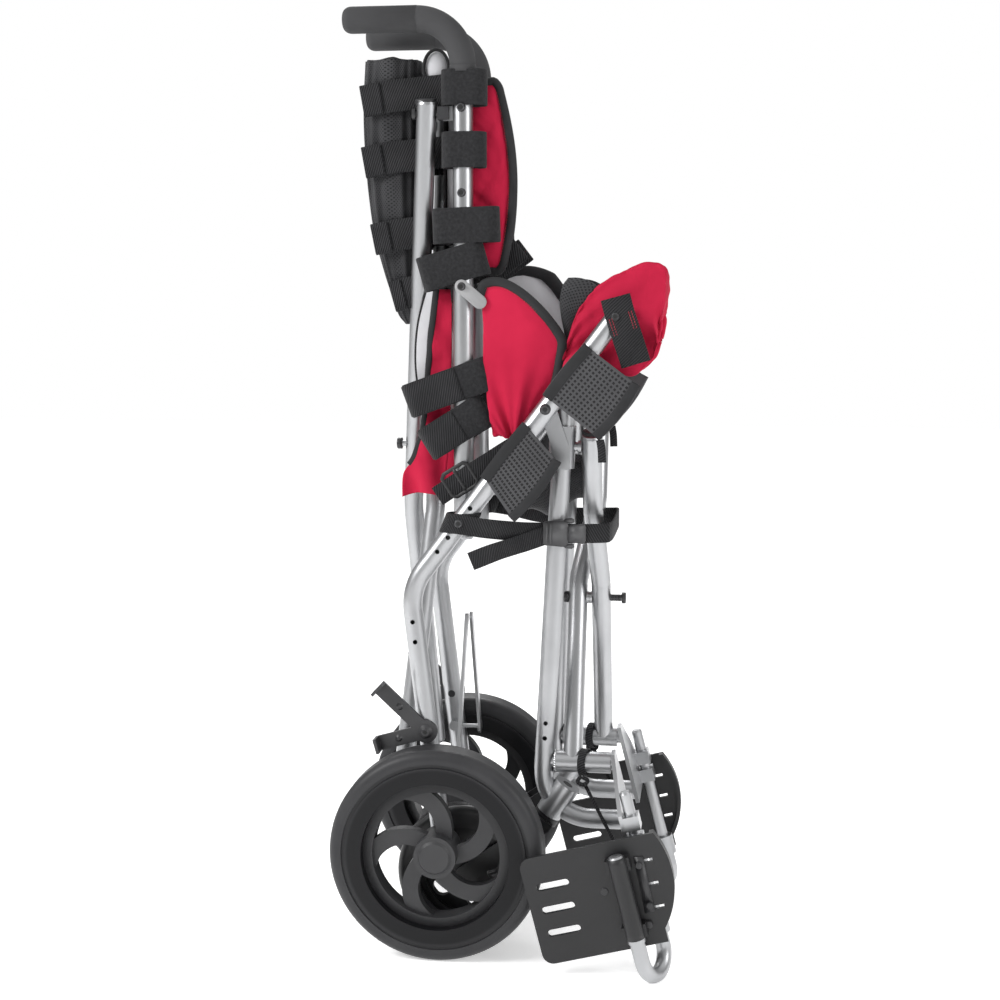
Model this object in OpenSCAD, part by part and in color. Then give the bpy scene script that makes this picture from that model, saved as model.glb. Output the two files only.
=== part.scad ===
// Folding push buggy for a child with special needs, standing folded.
// Millimetres. +X is the front, +Y the left side and +Z up.
// The origin is on the floor, under the middle of the folded buggy.
// Each side is drawn as the left one, at +Y, and mirrored for the right.

/* [Frame tubes] */
// Outside diameter of the frame tubes
tube_d = 25.4; // [24:0.1:26.5]
// Wall of the frame tubes
tube_wall = 2; // [1.2:0.1:3]
// Gap between pieces that move past each other
play = 0.4; // [0.3:0.05:0.6]
// Radial gap of a pin in its hole
pin_play = 0.05; // [0.02:0.01:0.09]
// Diameter of the pivot bolts
bolt_d = 8; // [6:0.5:9]
// Diameter of a button bolt head
head_d = 14; // [11:0.5:16]
// Height of a button bolt head
head_h = 4; // [3:0.5:5]
// Diameter of a small frame bolt's head
small_head_d = 11.2; // [9:0.1:13]
// Diameter of the brake bolt's head
brake_head_d = 18.2; // [16:0.1:20]

/* [Stance] */
// Distance of each push cane from the middle plane
cane_y = 70; // [68:1:76]
// Spacer between a push cane and its seat rail
hip_spacer = 4.6; // [4:0.2:7]
// Gap between a rear leg and its wheel
wheel_gap = 2.3; // [1.5:0.1:5]

/* [Seat rail and rear leg] */
// Angle of the folded seat rail above the horizontal
rail_angle = 53; // [50:0.5:56]
// Length of the rail in front of the hip pivot
rail_front_len = 340; // [320:5:360]
// Length of the rail behind the hip pivot, to the bend's corner
rail_rear_len = 108; // [100:1:116]
// Length of the rear leg from the bend's corner to the axle
rear_leg_len = 336; // [326:1:346]
// Lean of the rear leg from the vertical
rear_leg_lean = 6.9; // [6:0.1:8]
// Bend radius of the rail at the rear leg
rail_bend_r = 75; // [60:1:85]
// Distance along the rail from the hip pivot to the sleeve pin
sleeve_pin_along = 181; // [175:1:187]

/* [Push cane] */
// Height of the handle above the hip pivot
cane_len = 626; // [600:2:660]
// Reach of the handle behind the cane
handle_reach = 148; // [130:1:165]
// Bend radius of the handle
handle_bend_r = 58; // [50:1:65]
// Outside diameter of the foam grip
grip_d = 33; // [30:0.5:38]
// Length of the grip down the cane from the handle's height
grip_drop = 66; // [60:1:90]

/* [Front leg] */
// Lean of the front leg from the vertical
leg_tilt = 3; // [2:0.1:4]
// Distance of the sleeve's middle in front of the sleeve pin
sleeve_fwd = 17; // [15:0.5:20]
// Distance of the sleeve's middle below the sleeve pin
sleeve_drop = 50; // [46:1:56]
// Length of the sleeve on the front leg
sleeve_len = 54; // [46:1:60]
// Wall of the sleeve
sleeve_wall = 3.8; // [3:0.1:4.5]
// Thickness of the sleeve's link plate
link_plate_t = 4; // [3:0.2:5]
// Length of the leg above the sleeve's middle
leg_top_len = 82; // [70:1:90]
// Length of the leg below the sleeve's middle, to the bend's corner
leg_low_len = 486; // [480:1:492]
// Bend radius at the foot of the leg
leg_bend_r = 62; // [55:1:68]
// Length of the foot run from the bend's corner to the gusset
foot_run_len = 114; // [108:1:122]
// Height of the brace rod above the foot run
brace_rise = 75; // [70:1:80]
// Diameter of the brace rod
brace_rod_d = 18; // [15:0.5:19]
// Thickness of the gusset plate
gusset_t = 5; // [4:0.5:7]
// Lean of the gusset plate and of the footrest
gusset_tilt = 14.5; // [13:0.5:16]

/* [Rear wheel] */
// Diameter of the rear wheel
wheel_d = 275; // [270:1:280]
// Width of the rear tyre
wheel_w = 48; // [44:1:50]
// Diameter of the rim inside the tyre
rim_d = 190; // [180:1:200]
// Depth of the rim ring
rim_ring_t = 14; // [10:1:18]
// Number of swirl spokes
spoke_count = 5; // [3:1:7]
// Diameter of the hub
hub_d = 54; // [46:1:60]
// Diameter of the stub axle
axle_d = 12; // [10:0.5:14]

/* [Caster] */
// Diameter of the caster wheel
caster_d = 180; // [172:1:186]
// Width of the caster tyre
caster_w = 34; // [30:1:35]
// Distance of the caster's middle behind the foot of the front leg
caster_back = 99; // [95:1:103]
// Slope of the caster's swivel axis below the horizontal
swivel_slope = 57; // [55:0.5:59]
// Diameter of the caster head tube
head_tube_d = 35; // [32:0.5:38]
// Length of the caster head tube
head_tube_len = 46; // [42:1:48]

/* [Front brace] */
// Distance of the rear front-brace tube from the leg's foot corner
brace_a_fwd = 41; // [40:0.5:43]
// Distance of the fore front-brace tube from the leg's foot corner
brace_b_fwd = 72; // [71:0.5:74]
// Distance of the brace tops from the leg's foot corner
brace_top_fwd = 63; // [62:0.5:65]

/* [Rear brace] */
// Distance of the rear brace's top pivot below the handle
rear_brace_drop = 116; // [110:1:125]
// Distance of the rear brace behind the cane
rear_brace_back = 45; // [44:0.5:48]
// Length of a rear brace tube below its pivot
rear_brace_len = 838; // [820:2:850]
// Distance of the brace's lower ends from the middle plane
rear_brace_foot_y = 66; // [62:1:68]

/* [Footrest] */
// Diameter of the hanger rod
rod_d = 15; // [13:0.5:16]
// Outside diameter of the foot tube
foot_tube_d = 19; // [18.5:0.1:21]
// Distance of the hanger rod from the middle plane
rod_y = 148; // [144:1:152]
// Sideways span of the foot tube's bend
foot_span_y = 50; // [46:1:56]
// Fore and aft span of the foot tube's bend
foot_span_x = 25; // [22:1:30]
// Height of the footplate
plate_h = 138; // [130:1:146]
// Length of the footplate behind the foot tube
plate_back = 122; // [116:1:128]
// Reach of the footplate's round edge in front of the foot tube
plate_fwd = 62; // [58:1:66]
// Thickness of the footplate
plate_t = 5; // [4:0.5:6]
// Height of the lip along the round edge
lip_h = 10; // [6:1:12]

/* [Soft goods] */
// Width of the hook-and-loop straps
strap_w = 36; // [30:1:38]
// Thickness of the straps
strap_t = 3; // [2:0.5:4]
// Width of the transport strap
belt_w = 25; // [20:1:30]
// Thickness of the upholstery at its edges
cloth_t = 6; // [4:0.5:8]

/* [Hidden] */
$fn = 48;
overrun = 1;
cane_color = [0.72, 0.73, 0.75];
steel_color = [0.62, 0.63, 0.65];
black_color = [0.09, 0.09, 0.1];
foam_color = [0.2, 0.2, 0.21];
red_color = [0.78, 0.05, 0.13];
mesh_color = [0.12, 0.12, 0.13];
grey_color = [0.66, 0.66, 0.68];

// Small sizes shared by several pieces
tube_r = tube_d / 2;
tube_id = tube_d - 2 * tube_wall;
plug_h = 3;
plug_in = 5;
plug_d = tube_id + tube_wall / 2;
bolt_hole_d = bolt_d + 2 * pin_play;
socket_share = 0.36;
socket_depth_share = 0.6;
frame_hole_d = 6;
// Straight runs lap over their bends, which are drawn a hair thinner there
bend_lap = 1;
bend_ease = 0.25;

// Distances of the planes of each side from the middle plane
rail_y = cane_y + tube_d + hip_spacer;
sleeve_d = tube_d + 2 * play + 2 * sleeve_wall;
leg_y = rail_y - tube_r - play - link_plate_t - sleeve_d / 2;
wheel_y = rail_y + tube_r + wheel_gap + wheel_w / 2;

// A direction in the side view, as [x, z]
function way(angle) = [cos(angle), sin(angle)];
// A side-view point as a point in space
function at(p, y = 0) = [p[0], y, p[1]];

// Main points of the side view, with the rear axle at X zero
axle_pt = [0, wheel_d / 2];
corner_pt = axle_pt + rear_leg_len * way(90 + rear_leg_lean);
hip_pt = corner_pt + rail_rear_len * way(rail_angle);
pin_pt = hip_pt + sleeve_pin_along * way(rail_angle);
tip_pt = hip_pt + rail_front_len * way(rail_angle);
cane_x = hip_pt[0];
handle_z = hip_pt[1] + cane_len;
sleeve_pt = pin_pt + [sleeve_fwd, -sleeve_drop];
leg_way = way(90 - leg_tilt);
leg_top_pt = sleeve_pt + leg_top_len * leg_way;
leg_foot_pt = sleeve_pt - leg_low_len * leg_way;
foot_end_pt = leg_foot_pt + [foot_run_len, 0];
gusset_way = way(90 + gusset_tilt);
brace_z = leg_foot_pt[1] + brace_rise;
brace_rod_x0 = leg_foot_pt[0] + brace_rise * tan(leg_tilt);
brace_rod_x1 = foot_end_pt[0] - brace_rise * tan(gusset_tilt);
knuckle_z = handle_z - rear_brace_drop;
caster_pt = [leg_foot_pt[0] - caster_back, caster_d / 2];

// The middle of the folded buggy between the rear tyre and the footplate
x_min = axle_pt[0] - wheel_d / 2;
foot_tube_r = foot_tube_d / 2;
rod_pt = foot_end_pt + (gusset_t + foot_tube_r) / cos(gusset_tilt) * [1, 0];
u_bend_r = norm([foot_span_x * cos(gusset_tilt), foot_span_y]) / 2;
u_z = u_bend_r * cos(gusset_tilt) + foot_tube_r;
rod_low_pt = rod_pt - (rod_pt[1] - u_z) / cos(gusset_tilt) * gusset_way;
outer_low_pt = rod_low_pt - [foot_span_x, 0];
outer_y = rod_y + foot_span_y;
plate_mid_along = 76;
plate_mid_pt = outer_low_pt + plate_mid_along * gusset_way;
plate_bulge_share = 0.14;
bulge_pt = plate_mid_pt + plate_fwd * way(gusset_tilt) + plate_bulge_share * plate_h * gusset_way;
x_max = bulge_pt[0];
x_mid = (x_min + x_max) / 2;

// Shared shapes

module left_side() translate([-x_mid, 0, 0]) children();

module right_side() translate([-x_mid, 0, 0]) mirror([0, 1, 0]) children();

// The round section of a tube, or of a rod when its bore is zero
module section(d, bore) difference() {
    circle(d = d);
    if (bore > 0) circle(d = bore);
}

// A straight run from one side-view point to another
module bar(p, q, d, bore = 0) {
    step = q - p;
    translate(at(p)) rotate([0, atan2(step[0], step[1]), 0])
        linear_extrude(norm(step)) section(d, bore);
}

// The tangent length of a bend at the corner b of the path a, b, c
function turn_of(a, b, c) = acos(((b - a) * (c - b)) / (norm(b - a) * norm(c - b)));
function bend_tangent(a, b, c, r) = r * tan(turn_of(a, b, c) / 2);

// A round bend in the side view at the corner b of the path a, b, c
module bend(a, b, c, r, d, bore = 0) {
    in_way = (b - a) / norm(b - a);
    out_way = (c - b) / norm(c - b);
    spin = sign(in_way[0] * out_way[1] - in_way[1] * out_way[0]);
    start = b - bend_tangent(a, b, c, r) * in_way;
    finish = b + bend_tangent(a, b, c, r) * out_way;
    middle = start + spin * r * [-in_way[1], in_way[0]];
    first = spin > 0 ? start - middle : finish - middle;
    translate(at(middle)) rotate([90, 0, 0]) rotate([0, 0, atan2(first[1], first[0])])
        rotate_extrude(angle = turn_of(a, b, c)) translate([r, 0]) section(d, bore);
}

// A rod or tube along a side-view path with round bends
module rod_path(path, r, d, bore = 0) {
    last = len(path) - 1;
    for (i = [0:last - 1]) {
        step = (path[i + 1] - path[i]) / norm(path[i + 1] - path[i]);
        trim_in = i == 0 ? 0 : bend_tangent(path[i - 1], path[i], path[i + 1], r) - bend_lap;
        trim_out = i + 1 == last ? 0 : bend_tangent(path[i], path[i + 1], path[i + 2], r) - bend_lap;
        bar(path[i] + trim_in * step, path[i + 1] - trim_out * step, d, bore);
    }
    for (i = [1:1:last - 1])
        bend(path[i - 1], path[i], path[i + 1], r, d - 2 * bend_ease, bore > 0 ? bore + 2 * bend_ease : 0);
}

// A frame tube along a side-view path
module tube_path(path, r) rod_path(path, r, tube_d, tube_id);

// A domed plug in the end of a tube, pointing along +Z
module end_plug(d, inside, seat) {
    translate([0, 0, seat]) cylinder(h = plug_h, d1 = d - tube_wall / 2, d2 = d - plug_h);
    translate([0, 0, -plug_in]) cylinder(h = plug_in + seat, d = inside);
}

// The same plug at the end q of the run from p to q
module plug_at(p, q, d = tube_d, inside = plug_d, seat = 0) {
    step = q - p;
    translate(at(q)) rotate([0, atan2(step[0], step[1]), 0]) end_plug(d, inside, seat);
}

// A bolt along +Y from the outer face of its head, with a socket
module bolt(reach, d = bolt_d, wide = head_d) rotate([-90, 0, 0]) {
    difference() {
        cylinder(h = head_h, d1 = wide * socket_depth_share, d2 = wide);
        translate([0, 0, -overrun])
            cylinder(h = overrun + head_h * socket_depth_share, d = wide * socket_share, $fn = 6);
    }
    cylinder(h = head_h + reach, d = d);
}

// A cross hole through a tube, along Y
module cross_hole(d) rotate([90, 0, 0]) cylinder(h = tube_d + 2 * overrun, d = d, center = true);

// A closed slab between two surfaces, each a function of u and v from 0 to 1
module soft_slab(front, back, nu, nv) {
    count = (nu + 1) * (nv + 1);
    f = function(i, j) i * (nv + 1) + j;
    b = function(i, j) count + i * (nv + 1) + j;
    points = [for (s = [front, back], i = [0:nu], j = [0:nv]) s(i / nu, j / nv)];
    faces = [for (i = [0:nu - 1], j = [0:nv - 1]) each [
            [f(i, j), f(i + 1, j), f(i + 1, j + 1)], [f(i, j), f(i + 1, j + 1), f(i, j + 1)],
            [b(i, j), b(i + 1, j + 1), b(i + 1, j)], [b(i, j), b(i, j + 1), b(i + 1, j + 1)]],
        for (i = [0:nu - 1]) each [
            [f(i + 1, 0), f(i, 0), b(i, 0)], [f(i + 1, 0), b(i, 0), b(i + 1, 0)],
            [f(i, nv), f(i + 1, nv), b(i + 1, nv)], [f(i, nv), b(i + 1, nv), b(i, nv)]],
        for (j = [0:nv - 1]) each [
            [f(0, j), f(0, j + 1), b(0, j + 1)], [f(0, j), b(0, j + 1), b(0, j)],
            [f(nu, j + 1), f(nu, j), b(nu, j)], [f(nu, j + 1), b(nu, j), b(nu, j + 1)]]];
    polyhedron(points, faces);
}

// The crown of a pad, from 0 at its edges to 1 in the middle
function crown(u, v) = sqrt(max(0, 16 * u * (1 - u) * v * (1 - v)));

// Push canes

cane_tail = 22;
lug_t = 6;
lug_h = 18;
lug_bore = 6;
knuckle_back = 21;
tab_along_cane = 296;
tab_len = 30;
tab_w = 16;
tab_t = 3;
tab_drop = 40;
cane_bolt_alongs = [516, 412, tab_along_cane];
cane_path = [[cane_x, hip_pt[1] - cane_tail], [cane_x, handle_z], [cane_x - handle_reach, handle_z]];

module cane_tube() color(cane_color) difference() {
    union() {
        translate([0, cane_y, 0]) tube_path(cane_path, handle_bend_r);
        translate([0, cane_y, 0]) plug_at(cane_path[1], cane_path[0]);
        cane_lug();
    }
    translate([cane_x, cane_y, hip_pt[1]]) cross_hole(bolt_hole_d);
    for (along = cane_bolt_alongs)
        translate([cane_x, cane_y, hip_pt[1] + along]) cross_hole(frame_hole_d + 2 * pin_play);
}

// The lug behind the cane that carries the rear brace's knuckle
module cane_lug() translate([cane_x - knuckle_back, cane_y, knuckle_z]) difference() {
    union() {
        rotate([90, 0, 0]) cylinder(h = lug_t, d = lug_h, center = true);
        translate([0, -lug_t / 2, -lug_h / 2])
            cube([knuckle_back - sqrt(tube_r ^ 2 - (lug_t / 2) ^ 2) + tube_wall / 2, lug_t, lug_h]);
    }
    cross_hole(lug_bore + 2 * pin_play);
}

module grip() color(foam_color) {
    grip_path = [[cane_x, handle_z - grip_drop], [cane_x, handle_z], [cane_x - handle_reach, handle_z]];
    translate([0, cane_y, 0]) {
        rod_path(grip_path, handle_bend_r, grip_d, tube_d + 2 * pin_play);
        translate(at(grip_path[2])) rotate([0, -90, 0])
            cylinder(h = plug_h, d1 = grip_d, d2 = grip_d - 2 * plug_h);
    }
}

// Bolts through the cane, with the tab of the side panel and the hip pivot bolt
module cane_bolts() color(black_color) {
    for (along = cane_bolt_alongs) {
        under = along == tab_along_cane ? tab_t + pin_play : 0;
        translate([cane_x, cane_y + tube_r + pin_play + head_h + under, hip_pt[1] + along])
            mirror([0, 1, 0]) bolt(tube_d, frame_hole_d, small_head_d);
    }
    translate([cane_x, cane_y + tube_r + pin_play, hip_pt[1] + tab_along_cane])
        rotate([0, tab_drop, 0]) side_tab();
    translate([cane_x, rail_y + tube_r + play + head_h, hip_pt[1]])
        mirror([0, 1, 0]) bolt(rail_y - cane_y + tube_d + play);
    difference() {
        translate([cane_x, cane_y, hip_pt[1]]) rotate([-90, 0, 0])
            cylinder(h = tube_r + hip_spacer - play, d = head_d);
        translate([cane_x, cane_y, hip_pt[1] - head_d]) cylinder(h = 2 * head_d, d = tube_d + 2 * pin_play);
        translate([cane_x, cane_y, hip_pt[1]]) rotate([-90, 0, 0]) cylinder(h = tube_d, d = bolt_hole_d);
    }
}

// The flat tab that holds the side panel's corner, along +X
module side_tab() rotate([-90, 0, 0]) difference() {
    linear_extrude(tab_t) {
        circle(d = tab_w);
        translate([0, -tab_w / 2]) square([tab_len, tab_w]);
        translate([tab_len, 0]) circle(d = tab_w);
    }
    translate([0, 0, -overrun]) cylinder(h = tab_t + 2 * overrun, d = frame_hole_d + 2 * pin_play);
}

// Seat rails and rear legs

rail_path = [tip_pt, corner_pt, axle_pt - tube_r * way(90 + rear_leg_lean)];
rail_hole_alongs = [24, -23, -46];
leg_hole_alongs = [42, 68];
brake_pin_along = 152;
brake_pin_pt = axle_pt + brake_pin_along * way(90 + rear_leg_lean);
rail_tip_bolt_back = 16;
tip_bolt_pt = tip_pt - rail_tip_bolt_back * way(rail_angle);
link_pin_along = 108;
link_pin_pt = axle_pt + link_pin_along * way(90 + rear_leg_lean);
link_y = 82.5;
link_pin_d = 6;
link_boss_wall = 1.6;
link_fwd = 22;
brake_pin_d = 10;

module rail_tube() color(cane_color) {
    difference() {
        union() {
            translate([0, rail_y, 0]) tube_path(rail_path, rail_bend_r);
            link_boss();
        }
        translate([cane_x, rail_y, hip_pt[1]]) cross_hole(bolt_hole_d);
        translate(at(pin_pt, rail_y)) cross_hole(bolt_hole_d);
        translate(at(tip_bolt_pt, rail_y)) cross_hole(frame_hole_d + 2 * pin_play);
        translate(at(brake_pin_pt, rail_y)) cross_hole(brake_pin_d + 2 * pin_play);
        translate(at(axle_pt, rail_y)) cross_hole(axle_d + 2 * pin_play);
        for (along = rail_hole_alongs)
            translate(at(hip_pt + along * way(rail_angle), rail_y + tube_r)) cross_hole(frame_hole_d);
        for (along = leg_hole_alongs)
            translate(at(corner_pt - along * way(90 + rear_leg_lean), rail_y + tube_r))
                cross_hole(frame_hole_d);
    }
}

// The boss inside the rear leg that carries the lock link's pin
module link_boss() difference() {
    translate(at(link_pin_pt, rail_y)) rotate([90, 0, 0])
        cylinder(h = rail_y - link_y + link_pin_d / 2 + link_boss_wall, d = head_d);
    translate(at(link_pin_pt, rail_y)) rotate([90, 0, 0])
        cylinder(h = tube_r - tube_wall / 2, d = head_d + overrun);
    translate(at(link_pin_pt, link_y)) rotate([0, 90, 0])
        cylinder(h = head_d + 2 * overrun, d = link_pin_d + 2 * pin_play, center = true);
}

// Plugs, the sleeve pin and the webbing bolt of the rail
module rail_bolts() color(black_color) {
    translate([0, rail_y, 0]) plug_at(corner_pt, tip_pt, tube_d, tube_id - 2 * pin_play, pin_play);
    translate([0, rail_y, 0]) plug_at(corner_pt, rail_path[2], tube_d, tube_id - 2 * pin_play, pin_play);
    translate(at(pin_pt, rail_y + tube_r + pin_play + head_h)) mirror([0, 1, 0])
        bolt(tube_d + pin_play + play + link_plate_t);
    translate(at(tip_bolt_pt, rail_y + tube_r + pin_play + head_h)) mirror([0, 1, 0])
        bolt(tube_d, frame_hole_d, small_head_d);
    translate(at(brake_pin_pt, rail_y + tube_r + play + pedal_t + head_h + play)) mirror([0, 1, 0])
        bolt(tube_d + pedal_t + 2 * play, brake_pin_d, brake_head_d);
}

// Sleeves on the front legs

bumper_d = 16;
bumper_t = 4;
boss_d = 12;

module leg_sleeve() color(steel_color) {
    boss_x = sleeve_d / 2;
    boss_len = brace_top_fwd + leg_foot_pt[0] - sleeve_pt[0] - tube_r - boss_x - play;
    difference() {
        union() {
            translate(at(sleeve_pt, leg_y)) rotate([0, leg_tilt, 0])
                cylinder(h = sleeve_len, d = sleeve_d, center = true);
            link_plate();
        }
        translate(at(sleeve_pt, leg_y)) rotate([0, leg_tilt, 0])
            cylinder(h = 2 * sleeve_len, d = tube_d + 2 * play, center = true);
        translate(at(pin_pt, rail_y - tube_r)) rotate([90, 0, 0])
            cylinder(h = 2 * (play + link_plate_t), d = bolt_hole_d);
    }
    difference() {
        translate(at(sleeve_pt, leg_y)) rotate([0, 90, 0]) union() {
            cylinder(h = boss_x + boss_len - bumper_t, d = boss_d);
            translate([0, 0, boss_x + boss_len - bumper_t]) cylinder(h = bumper_t, d = bumper_d);
        }
        translate(at(sleeve_pt, leg_y)) rotate([0, leg_tilt, 0])
            cylinder(h = 2 * sleeve_len, d = sleeve_d - sleeve_wall, center = true);
    }
}

// The flat link from the rail's pin to the sleeve
module link_plate() {
    eye_d = 24;
    neck_w = 21;
    weld_in = 1.5;
    reach = sleeve_pt - pin_pt;
    translate(at(pin_pt, rail_y - tube_r - play)) rotate([90, 0, 0]) linear_extrude(link_plate_t) {
        circle(d = eye_d);
        rotate(atan2(reach[1], reach[0])) translate([0, -neck_w / 2]) square([norm(reach), neck_w]);
    }
    translate(at(sleeve_pt, rail_y - tube_r - play - link_plate_t)) rotate([0, leg_tilt, 0])
        translate([-eye_d / 2, -weld_in, -sleeve_len / 2])
            cube([eye_d, weld_in + link_plate_t / 2, sleeve_len]);
}

// Front legs

leg_path = [leg_top_pt, leg_foot_pt, foot_end_pt + [tube_r, 0]];
swivel_way = way(180 + swivel_slope);
head_in = 22.3;
head_out = 25.2;
head_mid_pt = leg_foot_pt + [head_in, head_out];
swivel_pin_d = 14;
leg_hole_below = [358, 378];

module leg_tube() color(cane_color) difference() {
    union() {
        translate([0, leg_y, 0]) tube_path(leg_path, leg_bend_r);
        translate([brace_rod_x0, leg_y, brace_z]) rotate([0, 90, 0])
            cylinder(h = brace_rod_x1 - brace_rod_x0 + tube_r, d = brace_rod_d);
        translate(at(head_mid_pt, leg_y)) rotate([0, 90 - swivel_slope, 0])
            translate([0, 0, -head_tube_len / 2]) cylinder(h = head_tube_len, d = head_tube_d);
    }
    translate(at(head_mid_pt, leg_y)) rotate([0, 90 - swivel_slope, 0])
        cylinder(h = 2 * head_tube_len, d = swivel_pin_d + 2 * pin_play, center = true);
    for (below = leg_hole_below)
        translate(at(sleeve_pt - below * leg_way, leg_y + tube_r)) cross_hole(frame_hole_d);
    translate(at(foot_end_pt, leg_y)) rotate([0, -gusset_tilt, 0])
        translate([-pin_play, -tube_d, -gusset_top]) cube([2 * tube_d, 2 * tube_d, 3 * gusset_top]);
}

// The tapered plate across the fronts of the brace rod and the foot run
gusset_in = 12;
gusset_low = 16;
gusset_top = 92;
gusset_side = 34;
gusset_out = 10;
gusset_neck = 14;
saddle_w = 26;
saddle_h = 18;
saddle_levels = [-4, 22];

module gusset_plate() color(steel_color) translate(at(foot_end_pt)) rotate([0, -gusset_tilt, 0])
    difference() {
        union() {
            rotate([90, 0, 90]) linear_extrude(gusset_t) polygon([
                [leg_y - gusset_in, -gusset_low], [rod_y + gusset_out, -gusset_low],
                [rod_y + gusset_out, gusset_side], [leg_y + gusset_neck, gusset_top],
                [leg_y - gusset_in, gusset_top]]);
            for (level = saddle_levels)
                translate([gusset_t, rod_y - saddle_w / 2, level - saddle_h / 2])
                    cube([foot_tube_r + rod_d / 2 + gusset_t / 2, saddle_w, saddle_h]);
        }
        translate([gusset_t + foot_tube_r, rod_y, -gusset_top])
            cylinder(h = 3 * gusset_top, d = rod_d + 2 * pin_play);
    }

// Rear wheels

hub_cap_t = 4;
axle_end_gap = 1;
hub_dome_h = 3;
hub_dome_share = 0.8;

// Stub axle that stays in the rear leg
module rear_axle() color(steel_color) {
    inner_y = rail_y - tube_r + tube_wall;
    translate(at(axle_pt, inner_y)) rotate([-90, 0, 0])
        cylinder(h = wheel_y + wheel_w / 2 - hub_cap_t - axle_end_gap - inner_y, d = axle_d);
}

swirl_r = 50;
spoke_w = 21;
ring_w = 13;
hub_inner_gap = 0.6;
rim_seat = 0.2;

// Rim with a dished ring, swirl spokes and a capped hub
module wheel_rim() color(black_color) translate(at(axle_pt, wheel_y)) rotate([-90, 0, 0]) difference() {
    dome_d = hub_d * hub_dome_share;
    union() {
        rotate_extrude() polygon([
            [rim_d / 2 - ring_w, -rim_ring_t], [rim_d / 2 - rim_seat, -wheel_w / 2 + ring_w],
            [rim_d / 2 - rim_seat, wheel_w / 2 - ring_w], [rim_d / 2 - ring_w, rim_ring_t]]);
        translate([0, 0, -wheel_w / 2 - wheel_gap + hub_inner_gap])
            cylinder(h = wheel_w + wheel_gap - hub_inner_gap, d = hub_d);
        translate([0, 0, wheel_w / 2]) cylinder(h = hub_dome_h, d1 = dome_d, d2 = dome_d - 2 * hub_dome_h);
        for (i = [0:spoke_count - 1]) rotate(i * 360 / spoke_count) swirl_spoke();
    }
    translate([0, 0, -wheel_w])
        cylinder(h = wheel_w + wheel_w / 2 - hub_cap_t, d = axle_d + 2 * pin_play);
}

// One curved spoke, part of a ring that starts at the hub
module swirl_spoke() intersection() {
    cylinder(h = rim_ring_t, d = rim_d - ring_w, center = true);
    translate([swirl_r, 0, 0]) difference() {
        cylinder(h = rim_ring_t, d = 2 * swirl_r + spoke_w, center = true);
        cylinder(h = 2 * rim_ring_t, d = 2 * swirl_r - spoke_w, center = true);
    }
    translate([-swirl_r, 0, -rim_ring_t]) cube([4 * swirl_r, 2 * swirl_r, 2 * rim_ring_t]);
}

tread_round = 12;
groove_d_share = 0.86;
groove_deep = 2.5;
groove_w = 5;

// The half section of a tyre with rounded shoulders, from the rim out
module tyre_section(outside, inside, width, round) {
    depth = (outside - inside) / 2;
    translate([inside / 2, -width / 2 + round]) square([depth, width - 2 * round]);
    translate([inside / 2, -width / 2]) square([depth - round, width]);
    for (s = [-1, 1])
        translate([outside / 2 - round, s * (width / 2 - round)]) circle(r = round);
}

// Smooth tyre with a groove ring in each side wall
module wheel_tyre() color(foam_color) translate(at(axle_pt, wheel_y)) rotate([-90, 0, 0])
    rotate_extrude() difference() {
        tyre_section(wheel_d, rim_d, wheel_w, tread_round);
        for (s = [-1, 1])
            translate([wheel_d / 2 * groove_d_share - groove_w / 2, s * wheel_w / 2 - groove_deep])
                square([groove_w, 2 * groove_deep]);
    }

// Casters

fork_t = 5;
fork_w = 24;
fork_gap = 2;
caster_axle_d = 8;
fork_crown_t = 10;
fork_y = caster_w / 2 + fork_gap;
crown_gap = 1;
head_low_pt = head_mid_pt + (head_tube_len / 2 + crown_gap) * swivel_way;
fork_reach = caster_pt - head_low_pt;
fork_along = fork_reach * swivel_way;
fork_trail = fork_reach * way(90 + swivel_slope);

// Fork with its swivel pin, crown and two arms; +Z runs down the swivel axis
module caster_fork() color(black_color)
    translate(at(head_low_pt, leg_y)) rotate([0, -90 - swivel_slope, 0]) {
        translate([0, 0, -head_tube_len - crown_gap])
            cylinder(h = head_tube_len + 2 * crown_gap, d = swivel_pin_d);
        cylinder(h = fork_crown_t, d = head_tube_d);
        translate([-fork_w / 2, -fork_y - fork_t, fork_crown_t / 2])
            cube([fork_w, 2 * (fork_y + fork_t), fork_crown_t]);
        for (s = [-1, 1]) fork_arm(s);
        translate([fork_trail, 0, fork_along]) rotate([90, 0, 0])
            cylinder(h = 2 * (fork_y + fork_t), d = caster_axle_d, center = true);
    }

// One arm from the crown to the caster axle
module fork_arm(s) translate([0, s * (fork_y + fork_t / 2), 0]) rotate([90, 0, 0])
    linear_extrude(fork_t, center = true) {
        arm = [fork_trail, fork_along - fork_crown_t];
        translate([fork_trail, fork_along]) circle(d = fork_w);
        translate([0, fork_crown_t]) rotate(-atan2(arm[0], arm[1])) translate([-fork_w / 2, 0])
            square([fork_w, norm(arm)]);
    }

caster_hub_d = 36;
caster_rim_d = 124;
caster_web_t = 10;
caster_rim_t = 8;
caster_hole_d = 24;
caster_hole_count = 5;

module caster_rim() color(black_color) translate(at(caster_pt, leg_y)) rotate([-90, 0, 0]) difference() {
    union() {
        cylinder(h = caster_w, d = caster_hub_d, center = true);
        cylinder(h = caster_web_t, d = caster_rim_d - caster_rim_t, center = true);
        difference() {
            cylinder(h = caster_w - caster_rim_t, d = caster_rim_d - 2 * rim_seat, center = true);
            cylinder(h = caster_w, d = caster_rim_d - 2 * caster_rim_t, center = true);
        }
    }
    cylinder(h = 2 * caster_w, d = caster_axle_d + 2 * pin_play, center = true);
    for (i = [0:caster_hole_count - 1]) rotate(i * 360 / caster_hole_count)
        translate([(caster_rim_d + caster_hub_d) / 4, 0, -caster_w])
            cylinder(h = 2 * caster_w, d = caster_hole_d);
}

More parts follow.
